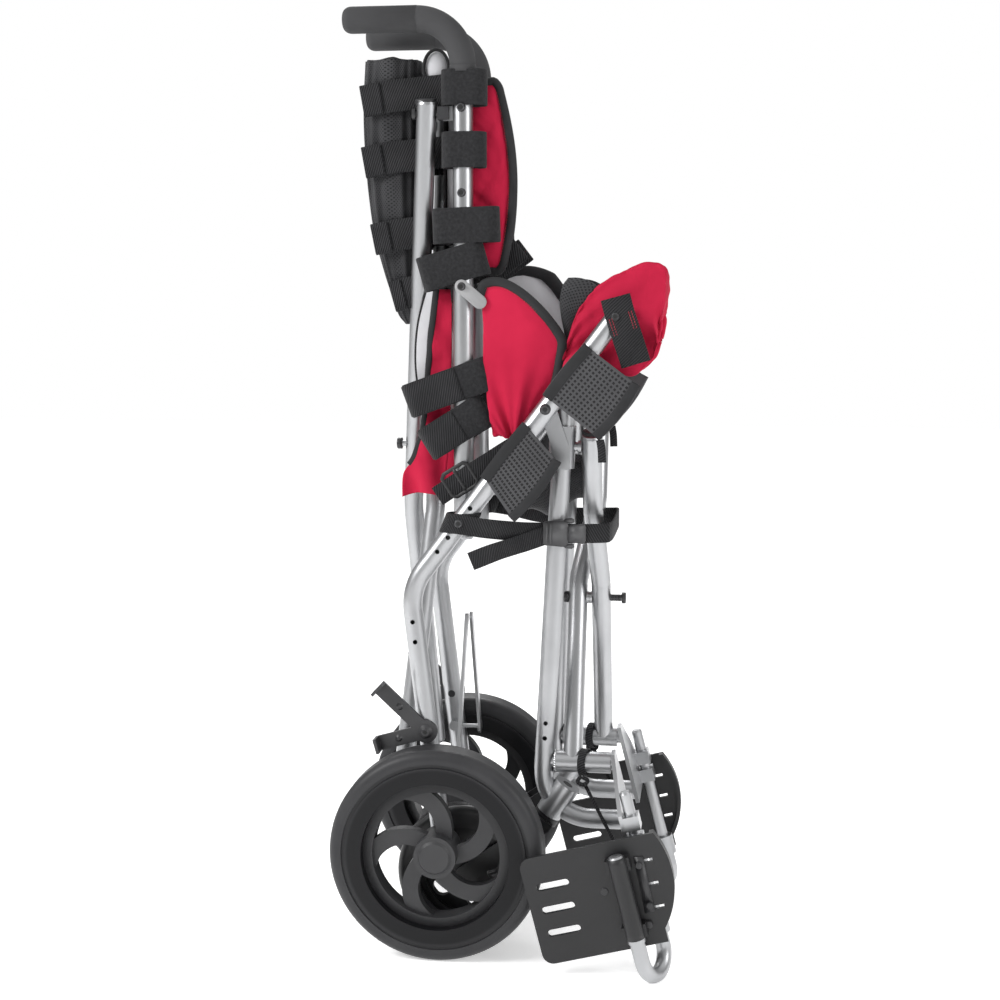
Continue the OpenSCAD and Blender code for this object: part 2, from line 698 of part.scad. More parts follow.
rib_count = 3;
rib_w = 3;
rib_deep = 2;
caster_round = 9;

// Caster tyre with grooves round the tread
module caster_tyre() color(foam_color) translate(at(caster_pt, leg_y)) rotate([-90, 0, 0])
    rotate_extrude() difference() {
        tyre_section(caster_d, caster_rim_d, caster_w, caster_round);
        for (i = [0:rib_count - 1])
            translate([caster_d / 2 - rib_deep, (i - (rib_count - 1) / 2) * 2 * rib_w - rib_w / 2])
                square([2 * rib_deep, rib_w]);
    }

// Brake pedals

pedal_t = 4;
pedal_w = 19;
pedal_hub_d = 30;
pedal_up_len = 84;
pedal_up_angle = 137;
pedal_low_len = 66;
pedal_low_angle = 196;
pedal_tab = 22;
rivet_d = 9;
rivet_share = 0.55;

// Flat pedal with an upper and a lower arm, each ending in a tab to tread on
module brake_pedal() color(black_color) translate(at(brake_pin_pt, rail_y + tube_r + play)) {
    difference() {
        union() {
            rotate([-90, 0, 0]) cylinder(h = pedal_t, d = pedal_hub_d);
            pedal_arm(pedal_up_angle, pedal_up_len);
            pedal_arm(pedal_low_angle, pedal_low_len);
        }
        rotate([-90, 0, 0]) translate([0, 0, -overrun])
            cylinder(h = pedal_t + 2 * overrun, d = brake_pin_d + 2 * pin_play);
    }
}

module pedal_arm(angle, length) rotate([0, -angle, 0]) {
    translate([0, 0, -pedal_w / 2]) cube([length, pedal_t, pedal_w]);
    translate([length - pedal_t, 0, -pedal_w / 2]) cube([pedal_t, pedal_tab, pedal_w]);
    translate([length * rivet_share, pedal_t, 0]) rotate([-90, 0, 0])
        cylinder(h = pedal_t / 2, d1 = rivet_d, d2 = rivet_d / 2);
}

// Lock links between the rear legs

lock_len = 188;
lock_w = 12;
lock_eye_d = 18;
lock_t = 4;
lock_gap = 0.5;
lock_angle = 66;

// A flat bar on the leg's pin, rising towards the middle plane
module lock_link(layer) color(steel_color) {
    x0 = link_pin_pt[0] + head_d / 2 + link_fwd + layer * (lock_t + lock_gap);
    translate([x0, link_y, link_pin_pt[1]]) rotate([90 - lock_angle, 0, 0]) rotate([0, 90, 0]) {
        translate([-lock_len, -lock_w / 2, 0]) cube([lock_len, lock_w, lock_t]);
        translate([-lock_len, 0, 0]) cylinder(h = lock_t, d = lock_w);
        cylinder(h = lock_t, d = lock_eye_d);
    }
    translate([x0 + lock_t, link_y, link_pin_pt[1]]) rotate([0, -90, 0])
        cylinder(h = lock_t + link_fwd + head_d + layer * (lock_t + lock_gap), d = link_pin_d);
}

// Front cross brace

brace_len = norm([sleeve_pt[1] - brace_z, 2 * leg_y]);
brace_swing = atan2(2 * leg_y, sleeve_pt[1] - brace_z);
brace_cross_share = 0.5;
brace_knee_shares = [0.55, 0.8];
brace_over = 13;
brace_sleeve_d = tube_d + tube_wall;
brace_sleeve_gap = 0.5;
brace_bend_r = 60;
cross_bolt_d = 8;
cross_bolt_out = 20;
cross_spacer_d = 16;

// One tube of the front brace on its sleeve, drawn from the left leg's foot.
// reach is how far in front of the leg the lower tube stands; side is 1 for the fore tube.
module front_brace(reach, side) color(cane_color)
    translate([0, leg_y, brace_z]) rotate([brace_swing, 0, 0]) {
    x_low = leg_foot_pt[0] + reach;
    x_top = leg_foot_pt[0] + brace_top_fwd;
    sleeve_x0 = brace_rod_x0 + tube_r + brace_sleeve_gap + tube_wall;
    sleeve_x1 = brace_rod_x1 - brace_sleeve_gap - brace_sleeve_d / 2 * tan(gusset_tilt);
    out = side > 0 ? cross_bolt_out : head_h + tube_wall;
    spacer_len = (brace_b_fwd - brace_a_fwd - tube_d - play) / 2;
    path = [[x_low, 0], [x_low, brace_len * brace_knee_shares[0]],
        [x_top, brace_len * brace_knee_shares[1]], [x_top, brace_len + brace_over]];
    difference() {
        union() {
            tube_path(path, brace_bend_r);
            plug_at(path[2], path[3]);
            translate([sleeve_x0, 0, 0]) rotate([0, 90, 0])
                cylinder(h = sleeve_x1 - sleeve_x0, d = brace_sleeve_d);
            translate([x_low, 0, brace_len * brace_cross_share]) rotate([0, side * 90, 0])
                translate([0, 0, tube_r - tube_wall / 2]) {
                    cylinder(h = out, d = cross_bolt_d);
                    translate([0, 0, out - head_h]) cylinder(h = head_h, d = head_d);
                }
            translate([x_low, 0, brace_len * brace_cross_share]) rotate([0, -side * 90, 0])
                translate([0, 0, tube_r - tube_wall / 2])
                    cylinder(h = tube_wall / 2 + spacer_len, d = cross_spacer_d);
        }
        translate([sleeve_x0 - overrun, 0, 0]) rotate([0, 90, 0])
            cylinder(h = sleeve_x1 - sleeve_x0 + 2 * overrun, d = brace_rod_d + 2 * pin_play);
        translate([x_low, 0, 0]) cylinder(h = brace_sleeve_d, d = frame_hole_d);
    }
}

// Rear cross brace

knuckle_w = 17;
knuckle_h = 16;
knuckle_fwd = 4;
knuckle_stand = 1.2;
stud_spare = 0.8;
stud_d = 8;
knuckle_x = cane_x - knuckle_back;
brace_axis_x = cane_x - rear_brace_back;

// Clevis on the cane's lug with a cross pin and a stud that points back
module brace_knuckle() color(steel_color) translate([knuckle_x, cane_y, knuckle_z]) {
    back = knuckle_x - brace_axis_x - tube_r - knuckle_stand;
    slot_w = lug_t + 2 * play;
    difference() {
        translate([-back, -knuckle_w / 2, -knuckle_h / 2]) cube([back + knuckle_fwd, knuckle_w, knuckle_h]);
        translate([-lug_h / 2 - play, -slot_w / 2, -knuckle_h]) cube([2 * lug_h, slot_w, 2 * knuckle_h]);
    }
    rotate([90, 0, 0]) cylinder(h = knuckle_w, d = lug_bore, center = true);
    translate([-back, 0, 0]) rotate([0, -90, 0]) {
        cylinder(h = tube_d + 2 * knuckle_stand + stud_spare, d = stud_d);
        translate([0, 0, tube_d + 2 * knuckle_stand + stud_spare]) cylinder(h = head_h, d = head_d);
    }
}

rear_swing = atan2(cane_y + rear_brace_foot_y, rear_brace_len);
rear_cross_share = 0.5;
rear_knee_share = 0.6;
rear_over = 12;
rear_bend_r = 200;
bow_back = 36;
bow_fwd = 2;
foot_back_a = 16;
foot_back_b = 36;
rear_bolt_out = 12;

// One tube of the rear brace, hung from the left cane; bow is how far back its middle stands
module rear_brace(bow, foot_back, side) color(cane_color)
    translate([0, cane_y, knuckle_z]) rotate([-rear_swing, 0, 0]) {
    run = rear_brace_len / cos(rear_swing);
    knee = [brace_axis_x - bow, -run * rear_knee_share];
    path = [[brace_axis_x, rear_over], knee, [brace_axis_x - foot_back, -run]];
    cross_x = brace_axis_x - bow * rear_cross_share / rear_knee_share;
    difference() {
        union() {
            tube_path(path, rear_bend_r);
            plug_at(path[1], path[0]);
            plug_at(path[1], path[2]);
            translate([cross_x, 0, -run * rear_cross_share]) rotate([0, side * 90, 0])
                translate([0, 0, tube_r - tube_wall / 2]) {
                    cylinder(h = rear_bolt_out, d = cross_bolt_d);
                    translate([0, 0, rear_bolt_out - head_h]) cylinder(h = head_h, d = head_d);
                }
        }
        translate([brace_axis_x, 0, 0]) rotate([0, 90, 0])
            cylinder(h = 2 * tube_d, d = stud_d + 2 * pin_play, center = true);
    }
}

// Footrest

rod_top_along = 62;
rod_top_pt = rod_pt + rod_top_along * gusset_way;
clamp_h = 26;
clamp_d = 27;
clamp_up = 28;
rod_end = 18;
foot_wall = 1.8;
outer_top_along = 134;
sleeve_from = 26;
black_sleeve_t = 1.6;

// The rod that hangs from the gusset, with a cap
module hanger_rod() color(steel_color) translate(at(rod_low_pt, rod_y)) rotate([0, -gusset_tilt, 0]) {
    top = norm(rod_top_pt - rod_low_pt);
    translate([0, 0, rod_end]) cylinder(h = top - rod_end, d = rod_d);
    translate([0, 0, top]) cylinder(h = plug_h, d1 = rod_d, d2 = rod_d - plug_h);
}

// The U-shaped tube that slides on the rod, with its clamp and the black sleeve on its outer leg
module foot_tube() translate(at(rod_low_pt, rod_y)) rotate([0, -gusset_tilt, 0]) foot_tube_upright();

// The bend of the foot tube, or of its bore, below the two legs
module foot_bend(d) translate([u_bend_r, 0, 0]) rotate([-90, 0, 0])
    rotate_extrude(angle = 180) translate([u_bend_r, 0]) circle(d = d);

module foot_tube_upright() rotate(atan2(foot_span_y, -foot_span_x * cos(gusset_tilt))) {
    span = 2 * u_bend_r;
    color(cane_color) difference() {
        union() {
            cylinder(h = clamp_up, d = foot_tube_d);
            translate([span, 0, 0]) cylinder(h = outer_top_along, d = foot_tube_d);
            foot_bend(foot_tube_d);
        }
        cylinder(h = clamp_up + overrun, d = rod_d + 2 * play);
        translate([span, 0, 0]) cylinder(h = outer_top_along + overrun, d = foot_tube_d - 2 * foot_wall);
        foot_bend(rod_d);
    }
    color(black_color) {
        translate([0, 0, clamp_up - clamp_h / 2]) difference() {
            cylinder(h = clamp_h, d = clamp_d);
            translate([0, 0, -overrun]) cylinder(h = clamp_h / 2 + overrun, d = foot_tube_d);
            cylinder(h = clamp_h + overrun, d = rod_d + 2 * pin_play);
        }
        translate([span, 0, sleeve_from]) difference() {
            cylinder(h = outer_top_along - sleeve_from, d = foot_tube_d + 2 * black_sleeve_t);
            translate([0, 0, -overrun]) cylinder(h = outer_top_along, d = foot_tube_d);
        }
        translate([span, 0, outer_top_along])
            cylinder(h = plug_h, d1 = foot_tube_d + 2 * black_sleeve_t, d2 = foot_tube_d - plug_h);
    }
}

// The footplate stands inside the foot tube's outer leg, on two saddles round the sleeve
saddle_gap = 0.1;
bracket_w = 30;
bracket_h = 16;
bracket_alongs = [-44, 42];
plate_stand = 15;
plate_corner_r = 14;
front_low = 36;
slot_len = 42;
slot_w = 9;
slot_pitch = 30;
slot_in = 14;
small_slot_len = 12;
bulge_r = 110;

// Outline of the footplate, x forward and y up, about the foot tube
module plate_outline() {
    low = -plate_h / 2;
    high = plate_h / 2;
    difference() {
        union() {
            translate([-plate_back, low + plate_corner_r])
                square([plate_back + front_low, plate_h - 2 * plate_corner_r]);
            translate([-plate_back + plate_corner_r, low])
                square([plate_back + front_low - plate_corner_r, plate_h]);
            for (y = [low + plate_corner_r, high - plate_corner_r])
                translate([-plate_back + plate_corner_r, y]) circle(r = plate_corner_r);
            intersection() {
                translate([plate_fwd - bulge_r, plate_bulge_share * plate_h]) circle(r = bulge_r);
                translate([0, low]) square([plate_fwd, plate_h]);
            }
        }
        for (i = [-1:1]) translate([-plate_back + slot_in, i * slot_pitch - slot_w / 2]) {
            translate([slot_w / 2, 0]) square([slot_len - slot_w, slot_w]);
            for (x = [slot_w / 2, slot_len - slot_w / 2])
                translate([x, slot_w / 2]) circle(d = slot_w);
        }
        for (i = [-1:1])
            translate([front_low - small_slot_len / 2, i * slot_pitch + slot_w / 2])
                square([small_slot_len, slot_w / 2]);
    }
}

// The strip of the round edge that is raised as a lip
module plate_lip() intersection() {
    translate([plate_fwd - bulge_r, plate_bulge_share * plate_h]) difference() {
        circle(r = bulge_r);
        circle(r = bulge_r - plate_t);
    }
    translate([front_low, -plate_h / 2]) square([plate_fwd, plate_h]);
}

// The footplate with the raised lip on its round edge and two brackets on the foot tube
module footplate() color(black_color) translate(at(plate_mid_pt, outer_y)) rotate([0, -gusset_tilt, 0]) {
    difference() {
        union() {
            translate([0, -plate_stand, 0]) rotate([90, 0, 0]) linear_extrude(plate_t) plate_outline();
            translate([0, -plate_stand - plate_t, 0]) rotate([90, 0, 0]) linear_extrude(lip_h) plate_lip();
            for (along = bracket_alongs)
                translate([-bracket_w / 2, -plate_stand - plate_t / 2, along - bracket_h / 2])
                    cube([bracket_w, plate_stand + plate_t / 2, bracket_h]);
        }
        translate([0, 0, -plate_h])
            cylinder(h = 2 * plate_h, d = foot_tube_d + 2 * black_sleeve_t + 2 * saddle_gap);
    }
}

// Soft goods

// A piece of cloth stands this far off what it is sewn to or rests on
sewn_gap = 0.35;
strap_in_y = cane_y - tube_r - play - strap_t;

// The back's lining, gathered in pleats between the wings
lining_z0 = 690;
lining_z1 = 1118;
lining_back = 16;
lining_mid_x = cane_x - lining_back;
lining_fold = 10;
lining_fold_count = 3;
wing_edge_y = 50.2;
lining_half = wing_edge_y - cloth_t / 2 - sewn_gap;

module lining() color(grey_color) {
    wave = function(u) lining_mid_x + lining_fold * sin(360 * lining_fold_count * u);
    spot = function(u, v, s) [wave(u) + s * cloth_t / 2, lining_half * (2 * u - 1),
        lining_z0 + (lining_z1 - lining_z0) * v];
    soft_slab(function(u, v) spot(u, v, -1), function(u, v) spot(u, v, 1), 36, 5);
}

// A red wing of the back, sewn to the lining and standing forward inside each cane
wing_z0 = 870;
wing_h = 240;
wing_x0 = lining_mid_x + cloth_t / 2;
wing_depth = 87;
wing_back_share = 0.6;
wing_arc_from = 30;
wing_arc = 130;
wing_in_t = 10;
wing_out_t = strap_in_y - sewn_gap - wing_edge_y;

module wing() color(red_color) {
    arc = function(v) sin(wing_arc_from + wing_arc * v);
    edge = function(v) wing_depth * (wing_back_share + (1 - wing_back_share) * arc(v));
    side = function(u, v, t) cloth_t / 2 + (t - cloth_t / 2) * crown(u, v);
    spot = function(u, v, y) [wing_x0 + u * edge(v), wing_edge_y + y, wing_z0 + wing_h * v];
    soft_slab(function(u, v) spot(u, v, side(u, v, wing_out_t)),
        function(u, v) spot(u, v, -side(u, v, wing_in_t)), 8, 12);
}

// A red side panel between the cane and the seat rail
panel_t = 6;
panel_lift = 26;
panel_gap = 22;
panel_in = 2;
panel_y = leg_y + tube_r - panel_in;
panel_low_rise = [116, 96];
panel_low_w = 52;
panel_high_rise = [288, 228];
panel_high_w = 106;

module side_panel() color(red_color) {
    x0 = cane_x + tube_r + panel_gap;
    low_a = [x0, hip_pt[1] + panel_low_rise[0]];
    low_b = [x0 + panel_low_w, hip_pt[1] + panel_low_rise[1]];
    high_a = [x0, hip_pt[1] + panel_high_rise[0]];
    high_b = [x0 + panel_high_w, hip_pt[1] + panel_high_rise[1]];
    flat = function(u, v) (low_a * (1 - u) + low_b * u) * (1 - v) + (high_a * (1 - u) + high_b * u) * v
        + [0, panel_lift * v * sin(180 * u)];
    spot = function(u, v, s) let (p = flat(u, v))
        [p[0], panel_y + panel_t / 2 + s * panel_t / 4 * (1 + crown(u, v)), p[1]];
    soft_slab(function(u, v) spot(u, v, 1), function(u, v) spot(u, v, -1), 10, 10);
}

// Half of the black mesh back, which bulges out behind the rear brace
mesh_z0 = 812;
mesh_z1 = 1146;
mesh_back = 118;
mesh_front = 60;
mesh_half = 46;
mesh_fold = 4;
mesh_fold_count = 4;
mesh_low_deep_share = 0.25;
mesh_low_half_share = 0.6;
mesh_flank_share = 0.55;

module back_mesh() color(mesh_color) {
    deep = function(u) (mesh_back - mesh_front) * (mesh_low_deep_share + (1 - mesh_low_deep_share) * u)
        + mesh_fold * sin(360 * mesh_fold_count * u) * u;
    half = function(u) mesh_half * (mesh_low_half_share + (1 - mesh_low_half_share) * u);
    bulge = function(v) 1 - (1 - mesh_flank_share) * v * v;
    spot = function(u, v, x) [-mesh_front - x, play / 2 + half(u) * v, mesh_z0 + (mesh_z1 - mesh_z0) * u];
    soft_slab(function(u, v) spot(u, v, 0), function(u, v) spot(u, v, deep(u) * bulge(v)), 20, 6);
}

// The seat cloth, slack between the rail tips, with its main folds
seat_half = 77.4;
seat_rear = [152, 770];
seat_crest = [246, 886];
seat_front = [278, 786];
seat_fold = 7;
seat_fold_fwd_share = 0.6;
seat_fold_count = 4;
seat_fold_turn = 140;
seat_sag = 26;
seat_t = 9;

module seat_cloth_form() color(red_color) {
    lift = 2 * seat_crest - (seat_rear + seat_front) / 2;
    line = function(v) seat_rear * (1 - v) * (1 - v) + lift * 2 * v * (1 - v) + seat_front * v * v;
    fold = function(u, v) seat_fold * sin(360 * seat_fold_count * u + seat_fold_turn * v);
    sag = function(u, v) seat_sag * sin(180 * u) * sin(180 * v);
    spot = function(u, v, s) [line(v)[0] + fold(u, v) * seat_fold_fwd_share, seat_half * (2 * u - 1),
        line(v)[1] - sag(u, v) + fold(u, v) + s * seat_t / 2];
    soft_slab(function(u, v) spot(u, v, -1), function(u, v) spot(u, v, 1), 32, 12);
}

pocket_t = 4;
pocket_fronts = [[196, 300], [28, 124]];
pocket_up = 15;
pocket_downs = [70, 62];

// Two mesh pockets on the outside of the seat rail
module rail_mesh() color(mesh_color) for (i = [0, 1])
    translate(at(hip_pt, rail_y + tube_r + play)) rotate([0, -rail_angle, 0])
        rotate([90, 0, 0]) mirror([0, 0, 1]) linear_extrude(pocket_t)
            translate([pocket_fronts[i][0], -pocket_downs[i]])
                square([pocket_fronts[i][1] - pocket_fronts[i][0], pocket_up + pocket_downs[i]]);

// Strap loops round the cane: height above the hip, reach behind and in front of the cane, tilt
strap_loops = [[541, 25, 31, 0], [465, 25, 30, 0], [372, 38, 48, -2], [325, 60, 30, -16],
    [176, 80, 36, -20], [124, 58, 36, -32]];
// The two upper loops run on as webbing to the mesh back: distances behind the axle
tail_count = 2;
tail_start = 8;
tail_turn = 5;
tail_end = 108;
tail_lap = 2;

// A stadium of a given length and width, with its rear end at x zero
module stadium(length, width) {
    translate([width / 2, -width / 2]) square([length - width, width]);
    for (x = [width / 2, length - width / 2]) translate([x, 0]) circle(d = width);
}

// Distance of the webbing's middle from the middle plane, clear of the mesh's flank at that height
function tail_y(z) = let (u = (z + strap_w / 2 - mesh_z0) / (mesh_z1 - mesh_z0))
    mesh_half * (mesh_low_half_share + (1 - mesh_low_half_share) * u) + play / 2 + sewn_gap + strap_t / 2;

// Hook-and-loop straps: each wraps the cane, and its end lies flat on the outside
module cane_straps() color(black_color) for (i = [0:len(strap_loops) - 1]) {
    loop = strap_loops[i];
    z = hip_pt[1] + loop[0];
    room = (tube_r + play) / cos(loop[3]) + strap_w / 2 * abs(tan(loop[3])) + strap_t;
    back = max(loop[1], room);
    translate([cane_x, cane_y, z]) rotate([0, loop[3], 0]) translate([0, 0, -strap_w / 2])
        linear_extrude(strap_w) difference() {
            union() {
                translate([-back, 0]) stadium(back + room, tube_d + 2 * (play + strap_t));
                translate([0, tube_r + play]) square([loop[2], strap_t]);
            }
            translate([strap_t - back, 0]) stadium(back + room - 2 * strap_t, tube_d + 2 * play);
        }
    if (i < tail_count) translate([0, 0, z - strap_w / 2]) linear_extrude(strap_w) {
        strip([tail_start, strap_in_y + tail_lap], [-tail_turn, tail_y(z)], strap_t);
        strip([-tail_turn, tail_y(z)], [-tail_end, tail_y(z)], strap_t);
    }
}

belt_t = 2;
// A strip's round end is this much thicker than the strip, so that no edge is tangent
strip_swell = 0.3;
belt_drop = 10;
belt_z = hip_pt[1] - belt_drop;
belt_out = 4;
belt_near_y = leg_y + tube_r + belt_out;
belt_fwd = 90;
belt_front_x = leg_foot_pt[0] + belt_fwd;
belt_off_head = 2.5;
belt_start_y = rail_y + tube_r + play + head_h + belt_t / 2 + belt_off_head;
belt_corner_r = 10;
belt_run_x = leg_foot_pt[0];

// A flat strip in plan between two points, round at its far end
module strip(p, q, t) {
    step = q - p;
    translate(p) rotate(atan2(step[1], step[0])) translate([0, -t / 2]) square([norm(step), t]);
    translate(q) circle(d = t + strip_swell);
}

// Half of the transport strap, from the hip bolt round the front of the braces
module belt() color(black_color) translate([0, 0, belt_z - belt_w / 2]) linear_extrude(belt_w) {
    strip([cane_x, belt_start_y], [belt_run_x, belt_near_y], belt_t);
    strip([belt_run_x, belt_near_y], [belt_front_x - belt_corner_r, belt_near_y], belt_t);
    strip([belt_front_x - belt_corner_r, belt_near_y], [belt_front_x, belt_near_y - belt_corner_r], belt_t);
    strip([belt_front_x, belt_near_y - belt_corner_r], [belt_front_x, belt_t], belt_t);
}

buckle_len = 56;
buckle_h = 33;
buckle_t = 9;
buckle_slot_len = 9;
buckle_bar = 4.5;
buckle_fwd = 2;

// Side-release buckle with its webbing slots, on the right run of the strap
module buckle() color(black_color)
    translate([belt_run_x + buckle_fwd, belt_near_y + belt_t / 2 + play, belt_z]) difference() {
        translate([0, 0, -buckle_h / 2]) cube([buckle_len, buckle_t, buckle_h]);
        for (x = [buckle_bar, buckle_len - buckle_bar - buckle_slot_len])
            translate([x, -overrun, -belt_w / 2]) cube([buckle_slot_len, buckle_t + 2 * overrun, belt_w]);
    }

right_side() cane_tube();  // right_cane_tube
left_side() cane_tube();  // left_cane_tube
right_side() grip();  // right_grip
left_side() grip();  // left_grip
right_side() cane_bolts();  // right_cane_bolts
left_side() cane_bolts();  // left_cane_bolts
right_side() rail_tube();  // right_rail_tube
left_side() rail_tube();  // left_rail_tube
right_side() rail_bolts();  // right_rail_bolts
left_side() rail_bolts();  // left_rail_bolts
right_side() leg_sleeve();  // right_leg_sleeve
left_side() leg_sleeve();  // left_leg_sleeve
right_side() leg_tube();  // right_leg_tube
left_side() leg_tube();  // left_leg_tube
right_side() gusset_plate();  // right_gusset_plate
left_side() gusset_plate();  // left_gusset_plate
right_side() rear_axle();  // right_rear_axle
left_side() rear_axle();  // left_rear_axle
right_side() wheel_rim();  // right_wheel_rim
left_side() wheel_rim();  // left_wheel_rim
right_side() wheel_tyre();  // right_wheel_tyre
left_side() wheel_tyre();  // left_wheel_tyre
right_side() caster_fork();  // right_caster_fork
left_side() caster_fork();  // left_caster_fork
right_side() caster_rim();  // right_caster_rim
left_side() caster_rim();  // left_caster_rim
right_side() caster_tyre();  // right_caster_tyre
left_side() caster_tyre();  // left_caster_tyre
right_side() brake_pedal();  // right_brake_pedal
left_side() brake_pedal();  // left_brake_pedal
right_side() lock_link(0);  // right_lock_link
left_side() lock_link(1);  // left_lock_link
right_side() front_brace(brace_a_fwd, -1);  // front_brace_a
left_side() front_brace(brace_b_fwd, 1);  // front_brace_b
right_side() brace_knuckle();  // right_brace_knuckle
left_side() brace_knuckle();  // left_brace_knuckle
right_side() rear_brace(bow_back, foot_back_a, -1);  // rear_brace_a
left_side() rear_brace(bow_fwd, foot_back_b, 1);  // rear_brace_b
right_side() hanger_rod();  // right_hanger_rod
left_side() hanger_rod();  // left_hanger_rod
right_side() foot_tube();  // right_foot_tube
left_side() foot_tube();  // left_foot_tube
right_side() footplate();  // right_footplate
left_side() footplate();  // left_footplate
right_side() back_mesh();  // right_back_mesh
left_side() back_mesh();  // left_back_mesh
left_side() lining();  // back_panel
right_side() wing();  // right_wing
left_side() wing();  // left_wing
right_side() side_panel();  // right_side_panel
left_side() side_panel();  // left_side_panel
left_side() seat_cloth_form();  // seat_cloth
right_side() rail_mesh();  // right_rail_mesh
left_side() rail_mesh();  // left_rail_mesh
right_side() cane_straps();  // right_cane_straps
left_side() cane_straps();  // left_cane_straps
right_side() belt();  // right_belt
left_side() belt();  // left_belt
right_side() buckle();  // belt_buckle
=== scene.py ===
# %% [markdown]
# A folded special needs buggy. The hard frame (tubes, wheels, brakes, footplates) comes from the
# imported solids, and gets finishes, rounder grips and small hardware here. The soft goods are made in
# this file: padded side wings, a bunched mesh back, a pleated lining, side panels, a crumpled seat,
# straps and pockets.

# %% Load the frame
import math

import bmesh
import bpy
import numpy as np
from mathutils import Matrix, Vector, noise


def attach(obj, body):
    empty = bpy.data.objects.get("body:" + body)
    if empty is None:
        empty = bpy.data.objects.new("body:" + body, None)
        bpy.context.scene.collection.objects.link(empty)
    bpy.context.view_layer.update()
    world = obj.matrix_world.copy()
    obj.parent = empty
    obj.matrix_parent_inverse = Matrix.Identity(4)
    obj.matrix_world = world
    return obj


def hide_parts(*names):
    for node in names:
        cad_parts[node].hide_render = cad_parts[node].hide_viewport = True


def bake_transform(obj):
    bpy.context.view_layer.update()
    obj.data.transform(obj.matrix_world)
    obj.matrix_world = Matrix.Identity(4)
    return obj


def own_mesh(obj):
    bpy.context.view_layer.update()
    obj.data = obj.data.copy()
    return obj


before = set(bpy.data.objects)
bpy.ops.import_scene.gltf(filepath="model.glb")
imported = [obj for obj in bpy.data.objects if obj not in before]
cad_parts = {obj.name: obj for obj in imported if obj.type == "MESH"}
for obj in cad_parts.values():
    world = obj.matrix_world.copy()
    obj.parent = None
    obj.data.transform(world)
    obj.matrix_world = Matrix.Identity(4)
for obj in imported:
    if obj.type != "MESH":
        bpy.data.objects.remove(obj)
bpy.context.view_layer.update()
SIDES = (("right", -1), ("left", 1))
ALONG, ACROSS, UPRIGHT = (1, 0, 0), (0, 1, 0), (0, 0, 1)


def add_object(name, data):
    thing = bpy.data.objects.new(name, data)
    bpy.context.collection.objects.link(thing)
    return thing


def add_node(tree, kind, inputs=None, **settings):
    node = tree.nodes.new(kind)
    for label, value in settings.items():
        setattr(node, label, value)
    for label, value in (inputs or {}).items():
        node.inputs[label].default_value = value
    return node


def connect(tree, *pairs):
    for source, target in pairs:
        tree.links.new(source, target)


# %% [markdown]
# The camera stands where the photographer stood: a little to the front of square-on to the right
# side, looking slightly down. A long lens keeps the tubes nearly parallel, as in the photograph.

# %% Camera
CAMERA_PLACE = (0.26207, -2.10429, 0.83175)
LOOK_DOWN, LOOK_ROUND = 6.92, 7.6
LENS_MM, SENSOR_MM = 58.2, 36.0
camera_data = bpy.data.cameras.new("camera")
camera_data.lens, camera_data.sensor_width = LENS_MM, SENSOR_MM
camera = add_object("camera", camera_data)
camera.location = CAMERA_PLACE
camera.rotation_euler = (math.radians(90 - LOOK_DOWN), 0, math.radians(LOOK_ROUND))
bpy.context.scene.camera = camera
print("camera at", CAMERA_PLACE)

# %% [markdown]
# Studio light: a big soft lamp on each side of the camera and one behind. The world shades from a
# bright top to a darker band at the sides, so that the round tubes show a light and a dark side.

# %% Light
LAMP_TARGET = (0, 0, 0.6)


def soft_lamp(name, place, size, power):
    lamp = bpy.data.lights.new(name, "AREA")
    lamp.energy, lamp.size = power, size
    thing = add_object(name, lamp)
    thing.location = place
    aim = Vector(LAMP_TARGET) - Vector(place)
    thing.rotation_euler = aim.to_track_quat("-Z", "Y").to_euler()


soft_lamp("key_lamp", (-2.3, -1.5, 2.2), 1.1, 74)
soft_lamp("fill_lamp", (2.5, -1.2, 1.4), 1.2, 26)
soft_lamp("back_lamp", (-0.6, 2.2, 2.2), 1.6, 40)

world = bpy.data.worlds.new("studio")
world.use_nodes = True
bpy.context.scene.world = world
sky = world.node_tree
where = sky.nodes.new("ShaderNodeTexCoord")
parts = sky.nodes.new("ShaderNodeSeparateXYZ")
shade = sky.nodes.new("ShaderNodeValToRGB")
for place, tone in ((0.0, 0.40), (0.5, 0.24), (0.72, 0.55), (1.0, 0.85)):
    stop = shade.color_ramp.elements[0] if place == 0.0 else shade.color_ramp.elements.new(place)
    stop.position, stop.color = place, (tone, tone, tone, 1)
height = add_node(sky, "ShaderNodeMapRange", {"From Min": -1.0})
white = add_node(sky, "ShaderNodeBackground", {"Color": (1, 1, 1, 1)})
soft = sky.nodes["Background"]
seen = sky.nodes.new("ShaderNodeLightPath")
pick = sky.nodes.new("ShaderNodeMixShader")
connect(sky, (where.outputs["Generated"], parts.inputs[0]), (parts.outputs["Z"], height.inputs["Value"]),
        (height.outputs[0], shade.inputs[0]), (shade.outputs[0], soft.inputs["Color"]),
        (seen.outputs["Is Camera Ray"], pick.inputs[0]), (soft.outputs[0], pick.inputs[1]),
        (white.outputs[0], pick.inputs[2]), (pick.outputs[0], sky.nodes["World Output"].inputs[0]))
bpy.context.scene.view_settings.view_transform = "Standard"
print("lamps and a graded world")

# %% [markdown]
# Four effects are shared by several finishes, so each is a node group: a fine grain with broad
# patches (dust and handling), a plain weave, slanted webbing ribs, and a net of round holes. The
# cloth groups read the piece's own UV map, which is laid out in metres, so threads keep their size.

# %% Shared effects
def effect(name, takes, gives):
    group = bpy.data.node_groups.new(name, "ShaderNodeTree")
    for label, kind, value in takes:
        socket = group.interface.new_socket(label, in_out="INPUT", socket_type=kind)
        if value is not None:
            socket.default_value = value
    for label in gives:
        group.interface.new_socket(label, in_out="OUTPUT", socket_type="NodeSocketFloat")
    return group, group.nodes.new("NodeGroupInput"), group.nodes.new("NodeGroupOutput")


